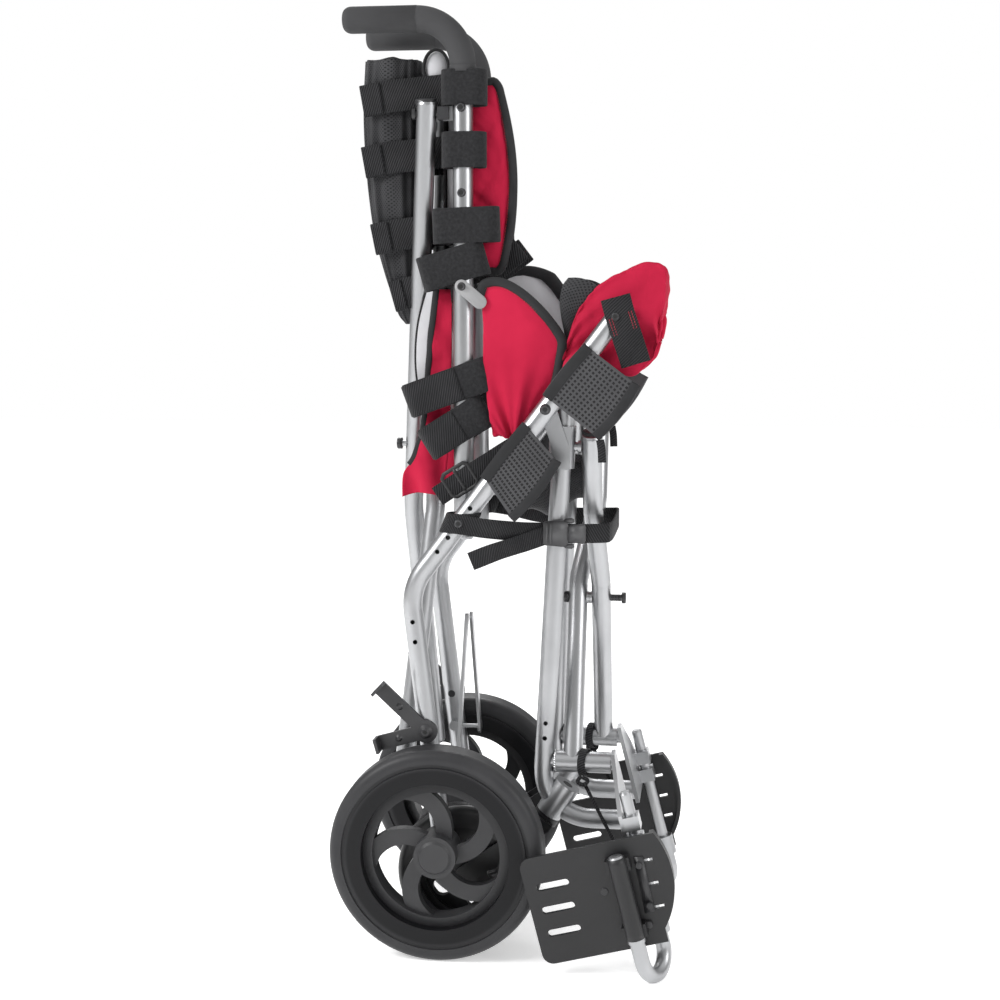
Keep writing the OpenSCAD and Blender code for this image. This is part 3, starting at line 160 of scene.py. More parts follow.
def sum_node(tree, how, a, b=0.0, third=None):
    node = add_node(tree, "ShaderNodeMath", operation=how)
    for i, value in enumerate((a, b, third)):
        if value is None:
            continue
        if isinstance(value, (int, float)):
            node.inputs[i].default_value = value
        else:
            tree.links.new(value, node.inputs[i])
    return node.outputs[0]


def noise_node(tree, vector, scale, detail):
    node = add_node(tree, "ShaderNodeTexNoise", {"Detail": detail})
    connect(tree, (vector, node.inputs["Vector"]), (scale, node.inputs["Scale"]))
    return node.outputs["Fac"]


VECTOR, FLOAT, MATERIAL = "NodeSocketVector", "NodeSocketFloat", "NodeSocketMaterial"
grain, g_in, g_out = effect("grain_and_patches", [("Vector", VECTOR, None), ("Fine", FLOAT, 900.0),
                                                  ("Broad", FLOAT, 18.0)], ["Grain", "Patches"])
grain.links.new(noise_node(grain, g_in.outputs["Vector"], g_in.outputs["Fine"], 2.0), g_out.inputs["Grain"])
grain.links.new(noise_node(grain, g_in.outputs["Vector"], g_in.outputs["Broad"], 5.0), g_out.inputs["Patches"])


def thread_waves(group, vector, count):
    axes = group.nodes.new("ShaderNodeSeparateXYZ")
    group.links.new(vector, axes.inputs[0])
    turns = sum_node(group, "MULTIPLY", count, 2 * math.pi)
    return [sum_node(group, "MULTIPLY", axes.outputs[i], turns) for i in (0, 1)]


weave, w_in, w_out = effect("plain_weave", [("Vector", VECTOR, None), ("Threads", FLOAT, 700.0)], ["Height"])
warp, weft = thread_waves(weave, w_in.outputs["Vector"], w_in.outputs["Threads"])
crossing = sum_node(weave, "MULTIPLY", sum_node(weave, "SINE", warp), sum_node(weave, "SINE", weft))
weave.links.new(sum_node(weave, "MULTIPLY_ADD", crossing, 0.5, 0.5), w_out.inputs["Height"])

ribs, r_in, r_out = effect("webbing_ribs", [("Vector", VECTOR, None), ("Threads", FLOAT, 260.0)], ["Height"])
along, over = thread_waves(ribs, r_in.outputs["Vector"], r_in.outputs["Threads"])
slant = sum_node(ribs, "MULTIPLY_ADD", over, 0.55, along)
ribs.links.new(sum_node(ribs, "MULTIPLY_ADD", sum_node(ribs, "SINE", slant), 0.5, 0.5), r_out.inputs["Height"])

net, n_in, n_out = effect("net_holes", [("Vector", VECTOR, None), ("Threads", FLOAT, 330.0)], ["Height"])
row, column = thread_waves(net, n_in.outputs["Vector"], n_in.outputs["Threads"])
holes = sum_node(net, "MULTIPLY", sum_node(net, "COSINE", row), sum_node(net, "COSINE", column))
net.links.new(sum_node(net, "SUBTRACT", 1.0, sum_node(net, "SMOOTH_MAX", holes, 0.15, 0.2)), n_out.inputs["Height"])
print("effects:", [g.name for g in (grain, weave, ribs, net)])

# %% [markdown]
# A finish starts from one colour and a second colour for wear. Broad patches mix the two and move the
# gloss a little; the grain, or the cloth's threads, becomes a bump. On cloth the second colour is also
# painted shade: the hollows between threads, and a net's holes, are darkened towards it by the share
# lift. Sheen and metal stay constant.

# %% A finish
FINISHES, BUMP_DEEP = {}, 0.0006


def finish(slot, colour, worn_and_shade, rough, metal=0.0, fine=900.0, broad=18.0, bump=0.05, swing=0.14,
           cloth=None, threads=0.0, thread_depth=0.5, sheen=0.0, lift=0.0, name=None):
    material = bpy.data.materials.new(name or slot)
    material.use_nodes = True
    tree = material.node_tree
    skin = tree.nodes["Principled BSDF"]
    place = tree.nodes.new("ShaderNodeTexCoord")
    speck = add_node(tree, "ShaderNodeGroup", node_tree=grain)
    speck.inputs["Fine"].default_value, speck.inputs["Broad"].default_value = fine, broad
    tone = add_node(tree, "ShaderNodeMix", {"A": (*colour, 1), "B": (*worn_and_shade, 1)}, data_type="RGBA")
    patches_and_shade = sum_node(tree, "MULTIPLY_ADD", speck.outputs["Patches"], 1.8, -0.45)
    relief, depth = speck.outputs["Grain"], bump
    if cloth:
        fabric = add_node(tree, "ShaderNodeGroup", {"Threads": threads}, node_tree=cloth)
        tree.links.new(place.outputs["UV"], fabric.inputs["Vector"])
        # Painted shade: the cloth's hollows and holes take the second colour, by the share lift.
        shadow = sum_node(tree, "MULTIPLY", sum_node(tree, "SUBTRACT", 1.0, fabric.outputs["Height"]), lift)
        patches_and_shade = sum_node(tree, "ADD", sum_node(tree, "MULTIPLY", patches_and_shade, 0.6), shadow)
        relief = sum_node(tree, "MULTIPLY_ADD", speck.outputs["Grain"], 0.35, fabric.outputs["Height"])
        depth = thread_depth
    limit = tree.nodes.new("ShaderNodeClamp")
    gloss = sum_node(tree, "MULTIPLY_ADD", speck.outputs["Patches"], swing, rough - swing / 2)
    dent = add_node(tree, "ShaderNodeBump", {"Strength": depth, "Distance": BUMP_DEEP})
    connect(tree, (place.outputs["Object"], speck.inputs["Vector"]), (patches_and_shade, limit.inputs["Value"]),
            (limit.outputs[0], tone.inputs["Factor"]), (tone.outputs["Result"], skin.inputs["Base Color"]),
            (gloss, skin.inputs["Roughness"]), (relief, dent.inputs["Height"]),
            (dent.outputs[0], skin.inputs["Normal"]))
    skin.inputs["Metallic"].default_value = metal
    if cloth or sheen:
        skin.inputs["Specular IOR Level"].default_value = 0.25
    if sheen:
        skin.inputs["Sheen Weight"].default_value = sheen
        skin.inputs["Sheen Roughness"].default_value = 0.5
    FINISHES[name or slot] = material
    return material


def shaded_piece(name, mesh, finish_name):
    mesh.materials.append(FINISHES[finish_name])
    mesh.polygons.foreach_set("use_smooth", [True] * len(mesh.polygons))
    return add_object(name, mesh)


# %% [markdown]
# Hard finishes: satin anodised tubes, brushed plates, satin black hardware, foam, moulded plastic
# and rubber. The grain is fine on metal and coarser on foam.

# %% Hard finishes
finish("satin_tube", (0.45, 0.455, 0.465), (0.39, 0.395, 0.405), 0.37, metal=1.0, fine=1500, bump=0.03)
finish("steel_plate", (0.48, 0.485, 0.495), (0.38, 0.385, 0.395), 0.36, metal=1.0, fine=1100, bump=0.06)
finish("black_hardware", (0.016, 0.016, 0.018), (0.035, 0.035, 0.037), 0.40, fine=1200, bump=0.06)
finish("foam_grip", (0.034, 0.034, 0.036), (0.052, 0.052, 0.054), 0.85, fine=750, bump=0.35)
finish("black_moulding", (0.006, 0.006, 0.007), (0.014, 0.014, 0.015), 0.46, fine=1300, bump=0.18)
finish("tyre", (0.016, 0.016, 0.017), (0.030, 0.030, 0.032), 0.42, fine=800, bump=0.14)
finish("steel_plate", (0.36, 0.36, 0.365), (0.28, 0.28, 0.285), 0.5, fine=1300, bump=0.08, name="grey_tab")
finish("buckle_plastic", (0.055, 0.055, 0.058), (0.080, 0.080, 0.083), 0.42, fine=1200, bump=0.06)
print("hard finishes:", len(FINISHES))

# %% [markdown]
# Cloth finishes: the red and grey cloth are plain weaves, the mesh is a net whose holes show as
# darker dots of painted shade, webbing has slanted ribs with painted shade in their grooves, and the
# hook-and-loop patches are a coarse fuzz.

# %% Cloth finishes
# The lift given to a woven finish below is how much shade is painted into its hollows.
finish("red_cloth", (0.53, 0.010, 0.050), (0.34, 0.004, 0.028), 0.85, cloth=weave, threads=900, thread_depth=0.22,
       sheen=0.02, lift=0.22, broad=14)
finish("grey_lining", (0.68, 0.68, 0.70), (0.52, 0.52, 0.54), 0.85, cloth=weave, threads=800, thread_depth=0.25,
       sheen=0.2, lift=0.15, broad=14)
finish("black_mesh", (0.062, 0.062, 0.066), (0.004, 0.004, 0.005), 0.66, cloth=net, threads=210, thread_depth=1.0,
       sheen=0.05, lift=1.3, broad=20)
finish("webbing", (0.034, 0.034, 0.037), (0.005, 0.005, 0.006), 0.70, cloth=ribs, threads=300, thread_depth=1.0,
       sheen=0.05, lift=1.0, broad=24)
finish("webbing", (0.009, 0.009, 0.010), (0.028, 0.028, 0.030), 0.95, fine=620, broad=260, bump=1.0, sheen=0.08,
       name="loop_fuzz")
finish("webbing", (0.014, 0.014, 0.015), (0.026, 0.026, 0.028), 0.68, fine=1400, broad=30, bump=0.25, sheen=0.04,
       name="edge_binding")
finish("black_mesh", (0.082, 0.082, 0.086), (0.050, 0.050, 0.053), 0.75, cloth=weave, threads=700, thread_depth=0.35,
       sheen=0.05, lift=0.3, broad=30, name="pocket_weave")
finish("red_cloth", (0.55, 0.010, 0.035), (0.30, 0.005, 0.02), 0.6, fine=1800, bump=0.2, name="red_thread")
print("finishes:", sorted(FINISHES))

# %% [markdown]
# The solids get the finish that their slot names. A pale floor glows a little, so that it fades into
# the white backdrop and keeps only the contact shadow.

# %% Finishes on the solids and the floor
FLOOR_HALF, FLOOR_GLOW = 9, 0.45
for name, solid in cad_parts.items():
    for holder in solid.material_slots:
        key = holder.material.name.split(".")[0] if holder.material else ""
        if key in FINISHES:
            holder.material = FINISHES[key]
        else:
            print("no finish for", name, key)
floor_mesh = bpy.data.meshes.new("floor")
floor_mesh.from_pydata([(x * FLOOR_HALF, y * FLOOR_HALF, 0) for x, y in ((-1, -1), (1, -1), (1, 1), (-1, 1))],
                       [], [(0, 1, 2, 3)])
floor = add_object("floor", floor_mesh)
pale = finish("floor", (0.90, 0.90, 0.90), (0.86, 0.86, 0.86), 0.8, broad=2.0, bump=0.02)
pale.node_tree.nodes["Principled BSDF"].inputs["Emission Color"].default_value = (1, 1, 1, 1)
pale.node_tree.nodes["Principled BSDF"].inputs["Emission Strength"].default_value = FLOOR_GLOW
floor_mesh.materials.append(pale)
print("solids painted")

# %% [markdown]
# Three finishes differ from their slot: the brace knuckles are black, the wheel's curved spokes are a
# greyer moulding, and the rear tyre's wall is painted darker than its shoulder: painted shade, standing in
# for the shade in the hollow of a concave wall. The painted shade's mask is the distance from the axle,
# centred by a Mapping node.

# %% Wheels and knuckles
AXLE, WALL_END, SHOULDER = (-0.0807, 0.1375), 0.1110, 0.1190
# The wall's colour is painted shade, darker than the rubber of the shoulder.
WALL_SHADE_COLOUR, WALL_SHINE = (0.006, 0.006, 0.007, 1), 0.22
finish("black_moulding", (0.020, 0.020, 0.022), (0.034, 0.034, 0.036), 0.50, fine=1300, bump=0.18,
       name="wheel_moulding")
rubber = finish("tyre", (0.028, 0.028, 0.030), (0.044, 0.044, 0.046), 0.44, fine=800, bump=0.14, name="rear_tyre")
wall = rubber.node_tree
about_axle = add_node(wall, "ShaderNodeMapping", {"Location": (-AXLE[0], 0, -AXLE[1]), "Scale": (1, 0, 1)})
radius = add_node(wall, "ShaderNodeVectorMath", operation="LENGTH")
shoulder = add_node(wall, "ShaderNodeMapRange", {"From Min": WALL_END, "From Max": SHOULDER},
                    interpolation_type="SMOOTHSTEP")
wall_shade_mix = add_node(wall, "ShaderNodeMix", {"A": WALL_SHADE_COLOUR}, data_type="RGBA")
skin = wall.nodes["Principled BSDF"]
skin.inputs["Specular IOR Level"].default_value = WALL_SHINE
worn_rubber = skin.inputs["Base Color"].links[0].from_socket
coordinates = next(n for n in wall.nodes if n.type == "TEX_COORD")
connect(wall, (coordinates.outputs["Object"], about_axle.inputs["Vector"]),
        (about_axle.outputs[0], radius.inputs[0]), (radius.outputs["Value"], shoulder.inputs["Value"]),
        (shoulder.outputs["Result"], wall_shade_mix.inputs["Factor"]), (worn_rubber, wall_shade_mix.inputs["B"]),
        (wall_shade_mix.outputs["Result"], skin.inputs["Base Color"]))
PAINT = {"_brace_knuckle": "black_hardware", "_wheel_rim": "wheel_moulding", "_wheel_tyre": "rear_tyre"}
for side, sign in SIDES:
    for node, paint in PAINT.items():
        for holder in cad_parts[side + node].material_slots:
            holder.material = FINISHES[paint]
print("wheels and knuckles painted")

# %% [markdown]
# The foam grips end in a soft round. Each is a copy of its solid, cut into thin slices near the end,
# and every slice is drawn in to a quarter round.

# %% Grip ends
ROUND_LONG, ROUND_FLAT = 0.0110, 0.45
CUTS = (0.0004, 0.0011, 0.0022, 0.0038, 0.0058, 0.0082, ROUND_LONG)
for side, sign in SIDES:
    work = bmesh.new()
    work.from_mesh(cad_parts[side + "_grip"].data)
    bmesh.ops.remove_doubles(work, verts=work.verts, dist=1e-6)
    end = min(v.co.x for v in work.verts)
    for cut in CUTS:
        bmesh.ops.bisect_plane(work, geom=list(work.verts) + list(work.edges) + list(work.faces),
                               plane_co=(end + cut, 0, 0), plane_no=(1, 0, 0))
    tip = [v for v in work.verts if v.co.x < end + ROUND_LONG - 1e-5]
    middle = [(max(v.co[k] for v in tip) + min(v.co[k] for v in tip)) / 2 for k in (1, 2)]
    full = (max(v.co.z for v in tip) - min(v.co.z for v in tip)) / 2
    for v in tip:
        share = 1 - (v.co.x - end) / ROUND_LONG
        most = full * (ROUND_FLAT + (1 - ROUND_FLAT) * math.sqrt(1 - share ** 2))
        reach = math.hypot(v.co.y - middle[0], v.co.z - middle[1])
        if reach > most:
            v.co.y = middle[0] + (v.co.y - middle[0]) * most / reach
            v.co.z = middle[1] + (v.co.z - middle[1]) * most / reach
    mesh = bpy.data.meshes.new(side + "_foam_grip")
    work.to_mesh(mesh)
    work.free()
    grip = shaded_piece(side + "_foam_grip", mesh, "foam_grip")
    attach(grip, side + "_cane")
    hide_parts(side + "_grip")
print("grips rounded over", ROUND_LONG)

# %% [markdown]
# Cloth is built from grids of points. A sheet is a grid given a small thickness; a pad is the same
# with a thickness that swells away from its edges. Both are closed, so that they can be weighed, and
# both get a UV map in metres measured along the cloth.

# %% Sheets and pads
def make_piece(name, points, faces, uvs, finish_name):
    mesh = bpy.data.meshes.new(name)
    mesh.from_pydata([tuple(p) for p in points], [], faces)
    layer = mesh.uv_layers.new(name="UVMap")
    order = np.empty(len(mesh.loops), dtype=np.int32)
    mesh.loops.foreach_get("vertex_index", order)
    layer.data.foreach_set("uv", np.asarray(uvs, dtype=np.float32)[order].ravel())
    work = bmesh.new()
    work.from_mesh(mesh)
    bmesh.ops.recalc_face_normals(work, faces=work.faces)
    work.to_mesh(mesh)
    work.free()
    return shaded_piece(name, mesh, finish_name)


def across_grid(grid):
    du, dv = np.gradient(grid, axis=0), np.gradient(grid, axis=1)
    out = np.cross(du, dv)
    return out / np.maximum(np.linalg.norm(out, axis=2, keepdims=True), 1e-9)


def cloth_piece(name, grid, thick, finish_name):
    nu, nv = grid.shape[:2]
    half = across_grid(grid) * (np.asarray(thick) / 2).reshape(np.shape(thick) + (1,) * (3 - np.ndim(thick)))
    points = np.concatenate([(grid + half).reshape(-1, 3), (grid - half).reshape(-1, 3)])
    index = np.arange(nu * nv).reshape(nu, nv)
    faces = []
    for i in range(nu - 1):
        for j in range(nv - 1):
            quad = [int(index[i, j]), int(index[i + 1, j]), int(index[i + 1, j + 1]), int(index[i, j + 1])]
            faces += [quad, [q + nu * nv for q in reversed(quad)]]
    rim = list(index[:, 0]) + list(index[-1, 1:]) + list(index[-2::-1, -1]) + list(index[0, -2:0:-1])
    for a, b in zip(rim, rim[1:] + rim[:1]):
        faces.append([int(b), int(a), int(a) + nu * nv, int(b) + nu * nv])
    run_u = np.concatenate([[0], np.linalg.norm(np.diff(grid, axis=0), axis=2).mean(axis=1).cumsum()])
    run_v = np.concatenate([[0], np.linalg.norm(np.diff(grid, axis=1), axis=2).mean(axis=0).cumsum()])
    flat = np.stack(np.meshgrid(run_u, run_v, indexing="ij"), axis=2).reshape(-1, 2)
    return make_piece(name, points, faces, np.concatenate([flat, flat]), finish_name)


def crumple(grid, size, depth, seed):
    out = across_grid(grid)
    bumps = np.array([[noise.noise(Vector(p) / size + Vector((seed, seed * 0.7, 0))) for p in row] for row in grid])
    return grid + out * (bumps * depth)[:, :, None]


def grid_of(function, nu, nv):
    return np.array([[function(u, v) for v in np.linspace(0, 1, nv)] for u in np.linspace(0, 1, nu)])


def mix(a, b, t):
    return a + (b - a) * t


def crowned(low, rise, power_u, power_v, nu, nv):
    """A pad's thickness: low at its edges, with an even crown."""
    return grid_of(lambda u, v: low + rise * (1 - (2 * u - 1) ** power_u) * (1 - (2 * v - 1) ** power_v), nu, nv)


# %% [markdown]
# Webbing and tape follow a path: a flat section is carried along it, with its width kept in one
# direction. Piping is the same with a round section. Paths are smoothed through a few set points, and a
# track is such a path that is looked up by its share, from 0 at its start to 1 at its end.

# %% Straps and piping
def smooth_path(points, count):
    p = np.asarray(points, dtype=float)
    p = np.concatenate([[2 * p[0] - p[1]], p, [2 * p[-1] - p[-2]]])
    path = []
    for s in np.linspace(0, len(p) - 3 - 1e-9, count):
        i, t = int(s), s - int(s)
        a, b, c, d = p[i:i + 4]
        path.append(0.5 * (2 * b + (c - a) * t + (2 * a - 5 * b + 4 * c - d) * t ** 2
                           + (3 * b - a - 3 * c + d) * t ** 3))
    return np.array(path)


def track(points, count):
    path = smooth_path(points, count)
    return lambda share: path[int(round(share * (count - 1)))]


def on_side(points, sign):
    return np.array(points, dtype=float) * (1, sign, 1)


def full_turn(count):
    return np.linspace(0, 2 * math.pi, count + 1)[:-1]


def sweep(name, path, wide, section, finish_name, closed=False):
    path = np.asarray(path, dtype=float)
    ahead = np.gradient(path, axis=0)
    if closed:
        ahead = np.roll(path, -1, axis=0) - np.roll(path, 1, axis=0)
    ahead /= np.maximum(np.linalg.norm(ahead, axis=1, keepdims=True), 1e-9)
    wide = np.broadcast_to(np.asarray(wide, dtype=float), path.shape)
    wide = wide - ahead * (wide * ahead).sum(axis=1, keepdims=True)
    wide = wide / np.maximum(np.linalg.norm(wide, axis=1, keepdims=True), 1e-9)
    off = np.cross(ahead, wide)
    section = np.asarray(section, dtype=float)
    n, m = len(path), len(section)
    points = path[:, None] + wide[:, None] * section[None, :, :1] + off[:, None] * section[None, :, 1:]
    run = np.concatenate([[0], np.linalg.norm(np.diff(path, axis=0), axis=1).cumsum()])
    uvs = np.stack([np.repeat(run, m), np.tile(section[:, 0], n)], axis=1)
    faces = []
    for i in range(n if closed else n - 1):
        for j in range(m):
            k, after = (j + 1) % m, (i + 1) % n
            faces.append([i * m + j, i * m + k, after * m + k, after * m + j])
    if not closed:
        faces += [list(range(m)), [(n - 1) * m + j for j in reversed(range(m))]]
    return make_piece(name, points.reshape(-1, 3), faces, uvs, finish_name)


def tape_section(width, thick):
    w, t, c = width / 2, thick / 2, min(0.0009, thick * 0.5)
    return [(-w, -t * 0.3), (-w + c, -t), (0, -t), (w - c, -t), (w, -t * 0.3),
            (w, t * 0.3), (w - c, t), (0, t), (-w + c, t), (-w, t * 0.3)]


def round_section(a, b, count=10):
    return [(a * math.cos(2 * math.pi * k / count), b * math.sin(2 * math.pi * k / count)) for k in range(count)]


def join(name, pieces):
    work = bmesh.new()
    layer = work.loops.layers.uv.new("UVMap")
    finishes = []
    for piece in pieces:
        start = len(work.faces)
        work.from_mesh(piece.data)
        work.faces.ensure_lookup_table()
        for face in work.faces[start:]:
            material = piece.data.materials[face.material_index]
            if material not in finishes:
                finishes.append(material)
            face.material_index = finishes.index(material)
        bpy.data.objects.remove(piece)
    mesh = bpy.data.meshes.new(name)
    work.to_mesh(mesh)
    work.free()
    for material in finishes:
        mesh.materials.append(material)
    return add_object(name, mesh)


def settle(piece):
    """Turn a piece with modifiers into a plain mesh."""
    shown = piece.evaluated_get(bpy.context.evaluated_depsgraph_get())
    mesh = bpy.data.meshes.new_from_object(shown)
    piece.modifiers.clear()
    piece.data = mesh
    return piece


def subdivide(piece):
    fine = piece.modifiers.new("fine", "SUBSURF")
    fine.levels = fine.render_levels = 1
    return settle(piece)


# %% [markdown]
# The padded wings and side panels are sewn foam. A thin closed form is blown up by the cloth solver
# for a few steps, as stuffing would do, with each point's movement capped, and then subdivided. The
# right one is made, and the left is its mirror image before the fold presses it.

# %% Puffing a pad
PRESSURE, CLOTH_STEPS, PAD_VOXEL, PAD_MOVE = 4.0, 20, 0.004, 0.005


def puff(piece, voxel, cap):
    before = len(piece.data.vertices)
    remesh = piece.modifiers.new("even", "REMESH")
    remesh.mode, remesh.voxel_size = "VOXEL", voxel
    settle(piece)
    start = np.array([v.co for v in piece.data.vertices])
    cloth = piece.modifiers.new("cloth", "CLOTH")
    cloth.settings.use_pressure = True
    cloth.settings.uniform_pressure_force = PRESSURE
    cloth.settings.effector_weights.gravity = 0.0
    cloth.settings.quality = 5
    scene = bpy.context.scene
    for step in range(1, CLOTH_STEPS + 1):
        scene.frame_set(step)
    settle(piece)
    scene.frame_set(1)
    end = np.array([v.co for v in piece.data.vertices])
    move = end - start
    far = np.linalg.norm(move, axis=1, keepdims=True)
    end = start + move * np.minimum(1.0, cap / np.maximum(far, 1e-9))
    piece.data.vertices.foreach_set("co", end.astype(np.float32).ravel())
    piece.data.polygons.foreach_set("use_smooth", [True] * len(piece.data.polygons))
    subdivide(piece)
    print(piece.name, "points", before, "->", len(piece.data.vertices))
    return piece


def flat_uv(piece):
    layer = piece.data.uv_layers.get("UVMap") or piece.data.uv_layers.new(name="UVMap")
    for loop in piece.data.loops:
        p = piece.data.vertices[loop.vertex_index].co
        layer.data[loop.index].uv = (p.x, p.z)


def mirrored(piece, name):
    mesh = piece.data.copy()
    mesh.name = name
    for v in mesh.vertices:
        v.co.y = -v.co.y
    mesh.flip_normals()
    return add_object(name, mesh)


# %% [markdown]
# The side wings stand beside the head, inside each cane. Each is a tall red pad with an even crown,
# drawn into wrinkles where the straps pull it to the cane, and bound with black tape at the front and
# ends. The far one is pressed narrower by the fold, as the photograph shows only the near one.

# %% Side wings
WING_LOW, WING_HIGH, WING_REAR, WING_Y = 0.873, 1.108, -0.0660, -0.0468
WING_FACE, WING_FLAT, CREASE_DEEP, CREASE_REACH, FAR_WIDTH = -0.0568, 0.62, 0.0064, 0.05, 0.84


def wing_front(v):
    return -0.0740 + 0.0785 * (0.6 + 0.4 * math.sin(math.radians(30 + 130 * v)))


def wing_point(u, v):
    return (mix(WING_REAR, wing_front(v), u), WING_Y - 0.002 * math.sin(math.pi * v), mix(WING_LOW, WING_HIGH, v))


wing_grid = grid_of(wing_point, 14, 36)
crown = crowned(0.0065, 0.0030, 4, 6, 14, 36)
right_wing = puff(cloth_piece("right_wing_pad", wing_grid, crown, "red_cloth"), PAD_VOXEL, PAD_MOVE)
for v in right_wing.data.vertices:
    x, z = v.co.x, v.co.z
    rear = max(0.0, 1 - (x - WING_REAR) / CREASE_REACH)
    crease = abs(math.sin(z * 74 + x * 60)) ** 0.7 + 0.7 * abs(math.sin(z * 51 - x * 75 + 1.3)) - 0.9
    crease += 0.45 * abs(math.sin(z * 121 + x * 95 + 0.5)) ** 0.8 - 0.25
    middle = wing_point(0, (z - WING_LOW) / (WING_HIGH - WING_LOW))[1]
    v.co.y = max(middle + (v.co.y - middle) * WING_FLAT - CREASE_DEEP * rear ** 0.7 * crease, WING_FACE)
flat_uv(right_wing)
wings = {"right": right_wing, "left": mirrored(right_wing, "left_wing_pad")}
edge = [wing_point(u, 0) for u in np.linspace(0, 0.93, 8)]
edge += [wing_point(1.0, v) for v in np.linspace(0.03, 0.97, 26)]
edge += [wing_point(u, 1) for u in np.linspace(0.93, 0, 8)]
right_edge = sweep("right_wing_binding", smooth_path(edge, 110), ACROSS, round_section(0.0062, 0.0058),
                   "edge_binding")
edges = {"right": right_edge, "left": mirrored(right_edge, "left_wing_binding")}


def pressed_flat(x):
    return WING_REAR + (x - WING_REAR) * FAR_WIDTH


for piece in (wings["left"], edges["left"]):
    for v in piece.data.vertices:
        v.co.x = pressed_flat(v.co.x)
for side, sign in SIDES:
    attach(wings[side], side + "_cane")
    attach(edges[side], side + "_cane")
    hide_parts(side + "_wing")
print("wings:", [p.name for p in wings.values()])

# %% [markdown]
# The side panels close the seat's sides, between cane and rail. They are red outside and grey inside,
# bound along the top and front edge, and they gather into folds at the bottom.
# The far one stands a little higher, so that its grey inner face shows over the near one.

# %% Side panels
PANEL_Y, PANEL_FACE, PANEL_FLAT = -0.0797, -0.0872, 0.42
GATHER_X, GATHER_Z = 0.010, 0.650
panel_rear = track([(-0.0225, 0.661), (-0.034, 0.750), (-0.035, 0.842)], 41)
panel_front = track([(0.020, 0.657), (0.060, 0.718), (0.0740, 0.780)], 41)


def panel_point(u, v):
    x, z = mix(panel_rear(v), panel_front(v), u)
    z += 0.040 * math.sin(math.pi * u ** 0.75) ** 0.6 * v ** 2
    fold = 0.0012 * math.sin(9 * u + 3 * v) * (1 - v)
    return (x, PANEL_Y + fold, z)


panel_grid = grid_of(panel_point, 24, 36)
crown = crowned(0.0065, 0.0025, 4, 4, 24, 36)
right_panel = puff(cloth_piece("right_side_cloth", panel_grid, crown, "red_cloth"), PAD_VOXEL, PAD_MOVE)
for v in right_panel.data.vertices:
    turn = math.atan2(v.co.z - GATHER_Z, v.co.x - GATHER_X)
    reach = math.hypot(v.co.z - GATHER_Z, v.co.x - GATHER_X)
    gather = (0.0052 * math.sin(9 * turn + 1.0) * math.exp(-reach / 0.10)
              + 0.0026 * math.sin(23 * turn) * math.exp(-reach / 0.07))
    v.co.y = max(PANEL_Y + (v.co.y - PANEL_Y) * PANEL_FLAT - gather, PANEL_FACE)
flat_uv(right_panel)
right_panel.data.materials.append(FINISHES["grey_lining"])
for face in right_panel.data.polygons:
    face.material_index = 1 if face.normal.y > 0.15 else 0
panels = {"right": right_panel, "left": mirrored(right_panel, "left_side_cloth")}
edge = [panel_point(u, 0.98) for u in np.linspace(0, 0.96, 20)]
edge += [panel_point(0.98, v) for v in np.linspace(0.95, 0.1, 14)]
right_edge = sweep("right_side_binding", smooth_path(edge, 90), ACROSS, round_section(0.0048, 0.0064),
                   "edge_binding")
edges = {"right": right_edge, "left": mirrored(right_edge, "left_side_binding")}


def raised(x, z):
    upper = min(1.0, max(0.0, (z - 0.68) / 0.15))
    return z + (0.014 + (min(x, 0.06) + 0.0118) * 0.5) * upper ** 2


for piece in (panels["left"], edges["left"]):
    for v in piece.data.vertices:
        v.co.z = raised(v.co.x, v.co.z)
for side, sign in SIDES:
    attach(panels[side], side + "_cane")
    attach(edges[side], side + "_cane")
    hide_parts(side + "_side_panel")
print("side panels:", [p.name for p in panels.values()])

# %% [markdown]
# The mesh back bunches up behind the folded frame. Each cane carries half of the bundle, a closed form
# with upright pleats, widest at the top and tapering down. A thin sheet of mesh hangs between the canes.

# %% Mesh back
BACK_PROFILE = [(0.806, -0.141, -0.126, 0.026), (0.830, -0.154, -0.124, 0.031), (0.912, -0.179, -0.122, 0.036),
                (1.000, -0.190, -0.121, 0.041), (1.081, -0.193, -0.120, 0.044), (1.140, -0.190, -0.120, 0.046)]
BACK_KEEP, STRAP_HEIGHTS = 0.02, (1.092, 1.014, 0.922, 0.846)
back_ring = track(BACK_PROFILE, 61)


def back_point(u, v):
    z, rear, front, half = back_ring(v)
    turn = 2 * math.pi * u
    c, s = math.cos(turn), math.sin(turn)
    bunch = 0.25 + 0.75 * abs(c)
    pleat = 1 + bunch * (0.07 * math.sin(9 * turn + 3 * v) + 0.05 * math.sin(17 * turn - 5 * v + 1))
    x = (rear + front) / 2 + (front - rear) / 2 * math.copysign(abs(c) ** 0.65, c) * min(pleat, 1.04)
    y = half * math.copysign(abs(s) ** 0.65, s) * min(pleat, 1.06) * 0.96
    pinch = sum(math.exp(-((z - strap) / 0.014) ** 2) for strap in STRAP_HEIGHTS)
    y *= 1 - 0.10 * pinch + 0.05 * noise.noise(Vector((x * 45, s * 2, z * 32)))
    return (x, y, z + 0.004 * noise.noise(Vector((x * 40, y * 40, z * 25))))


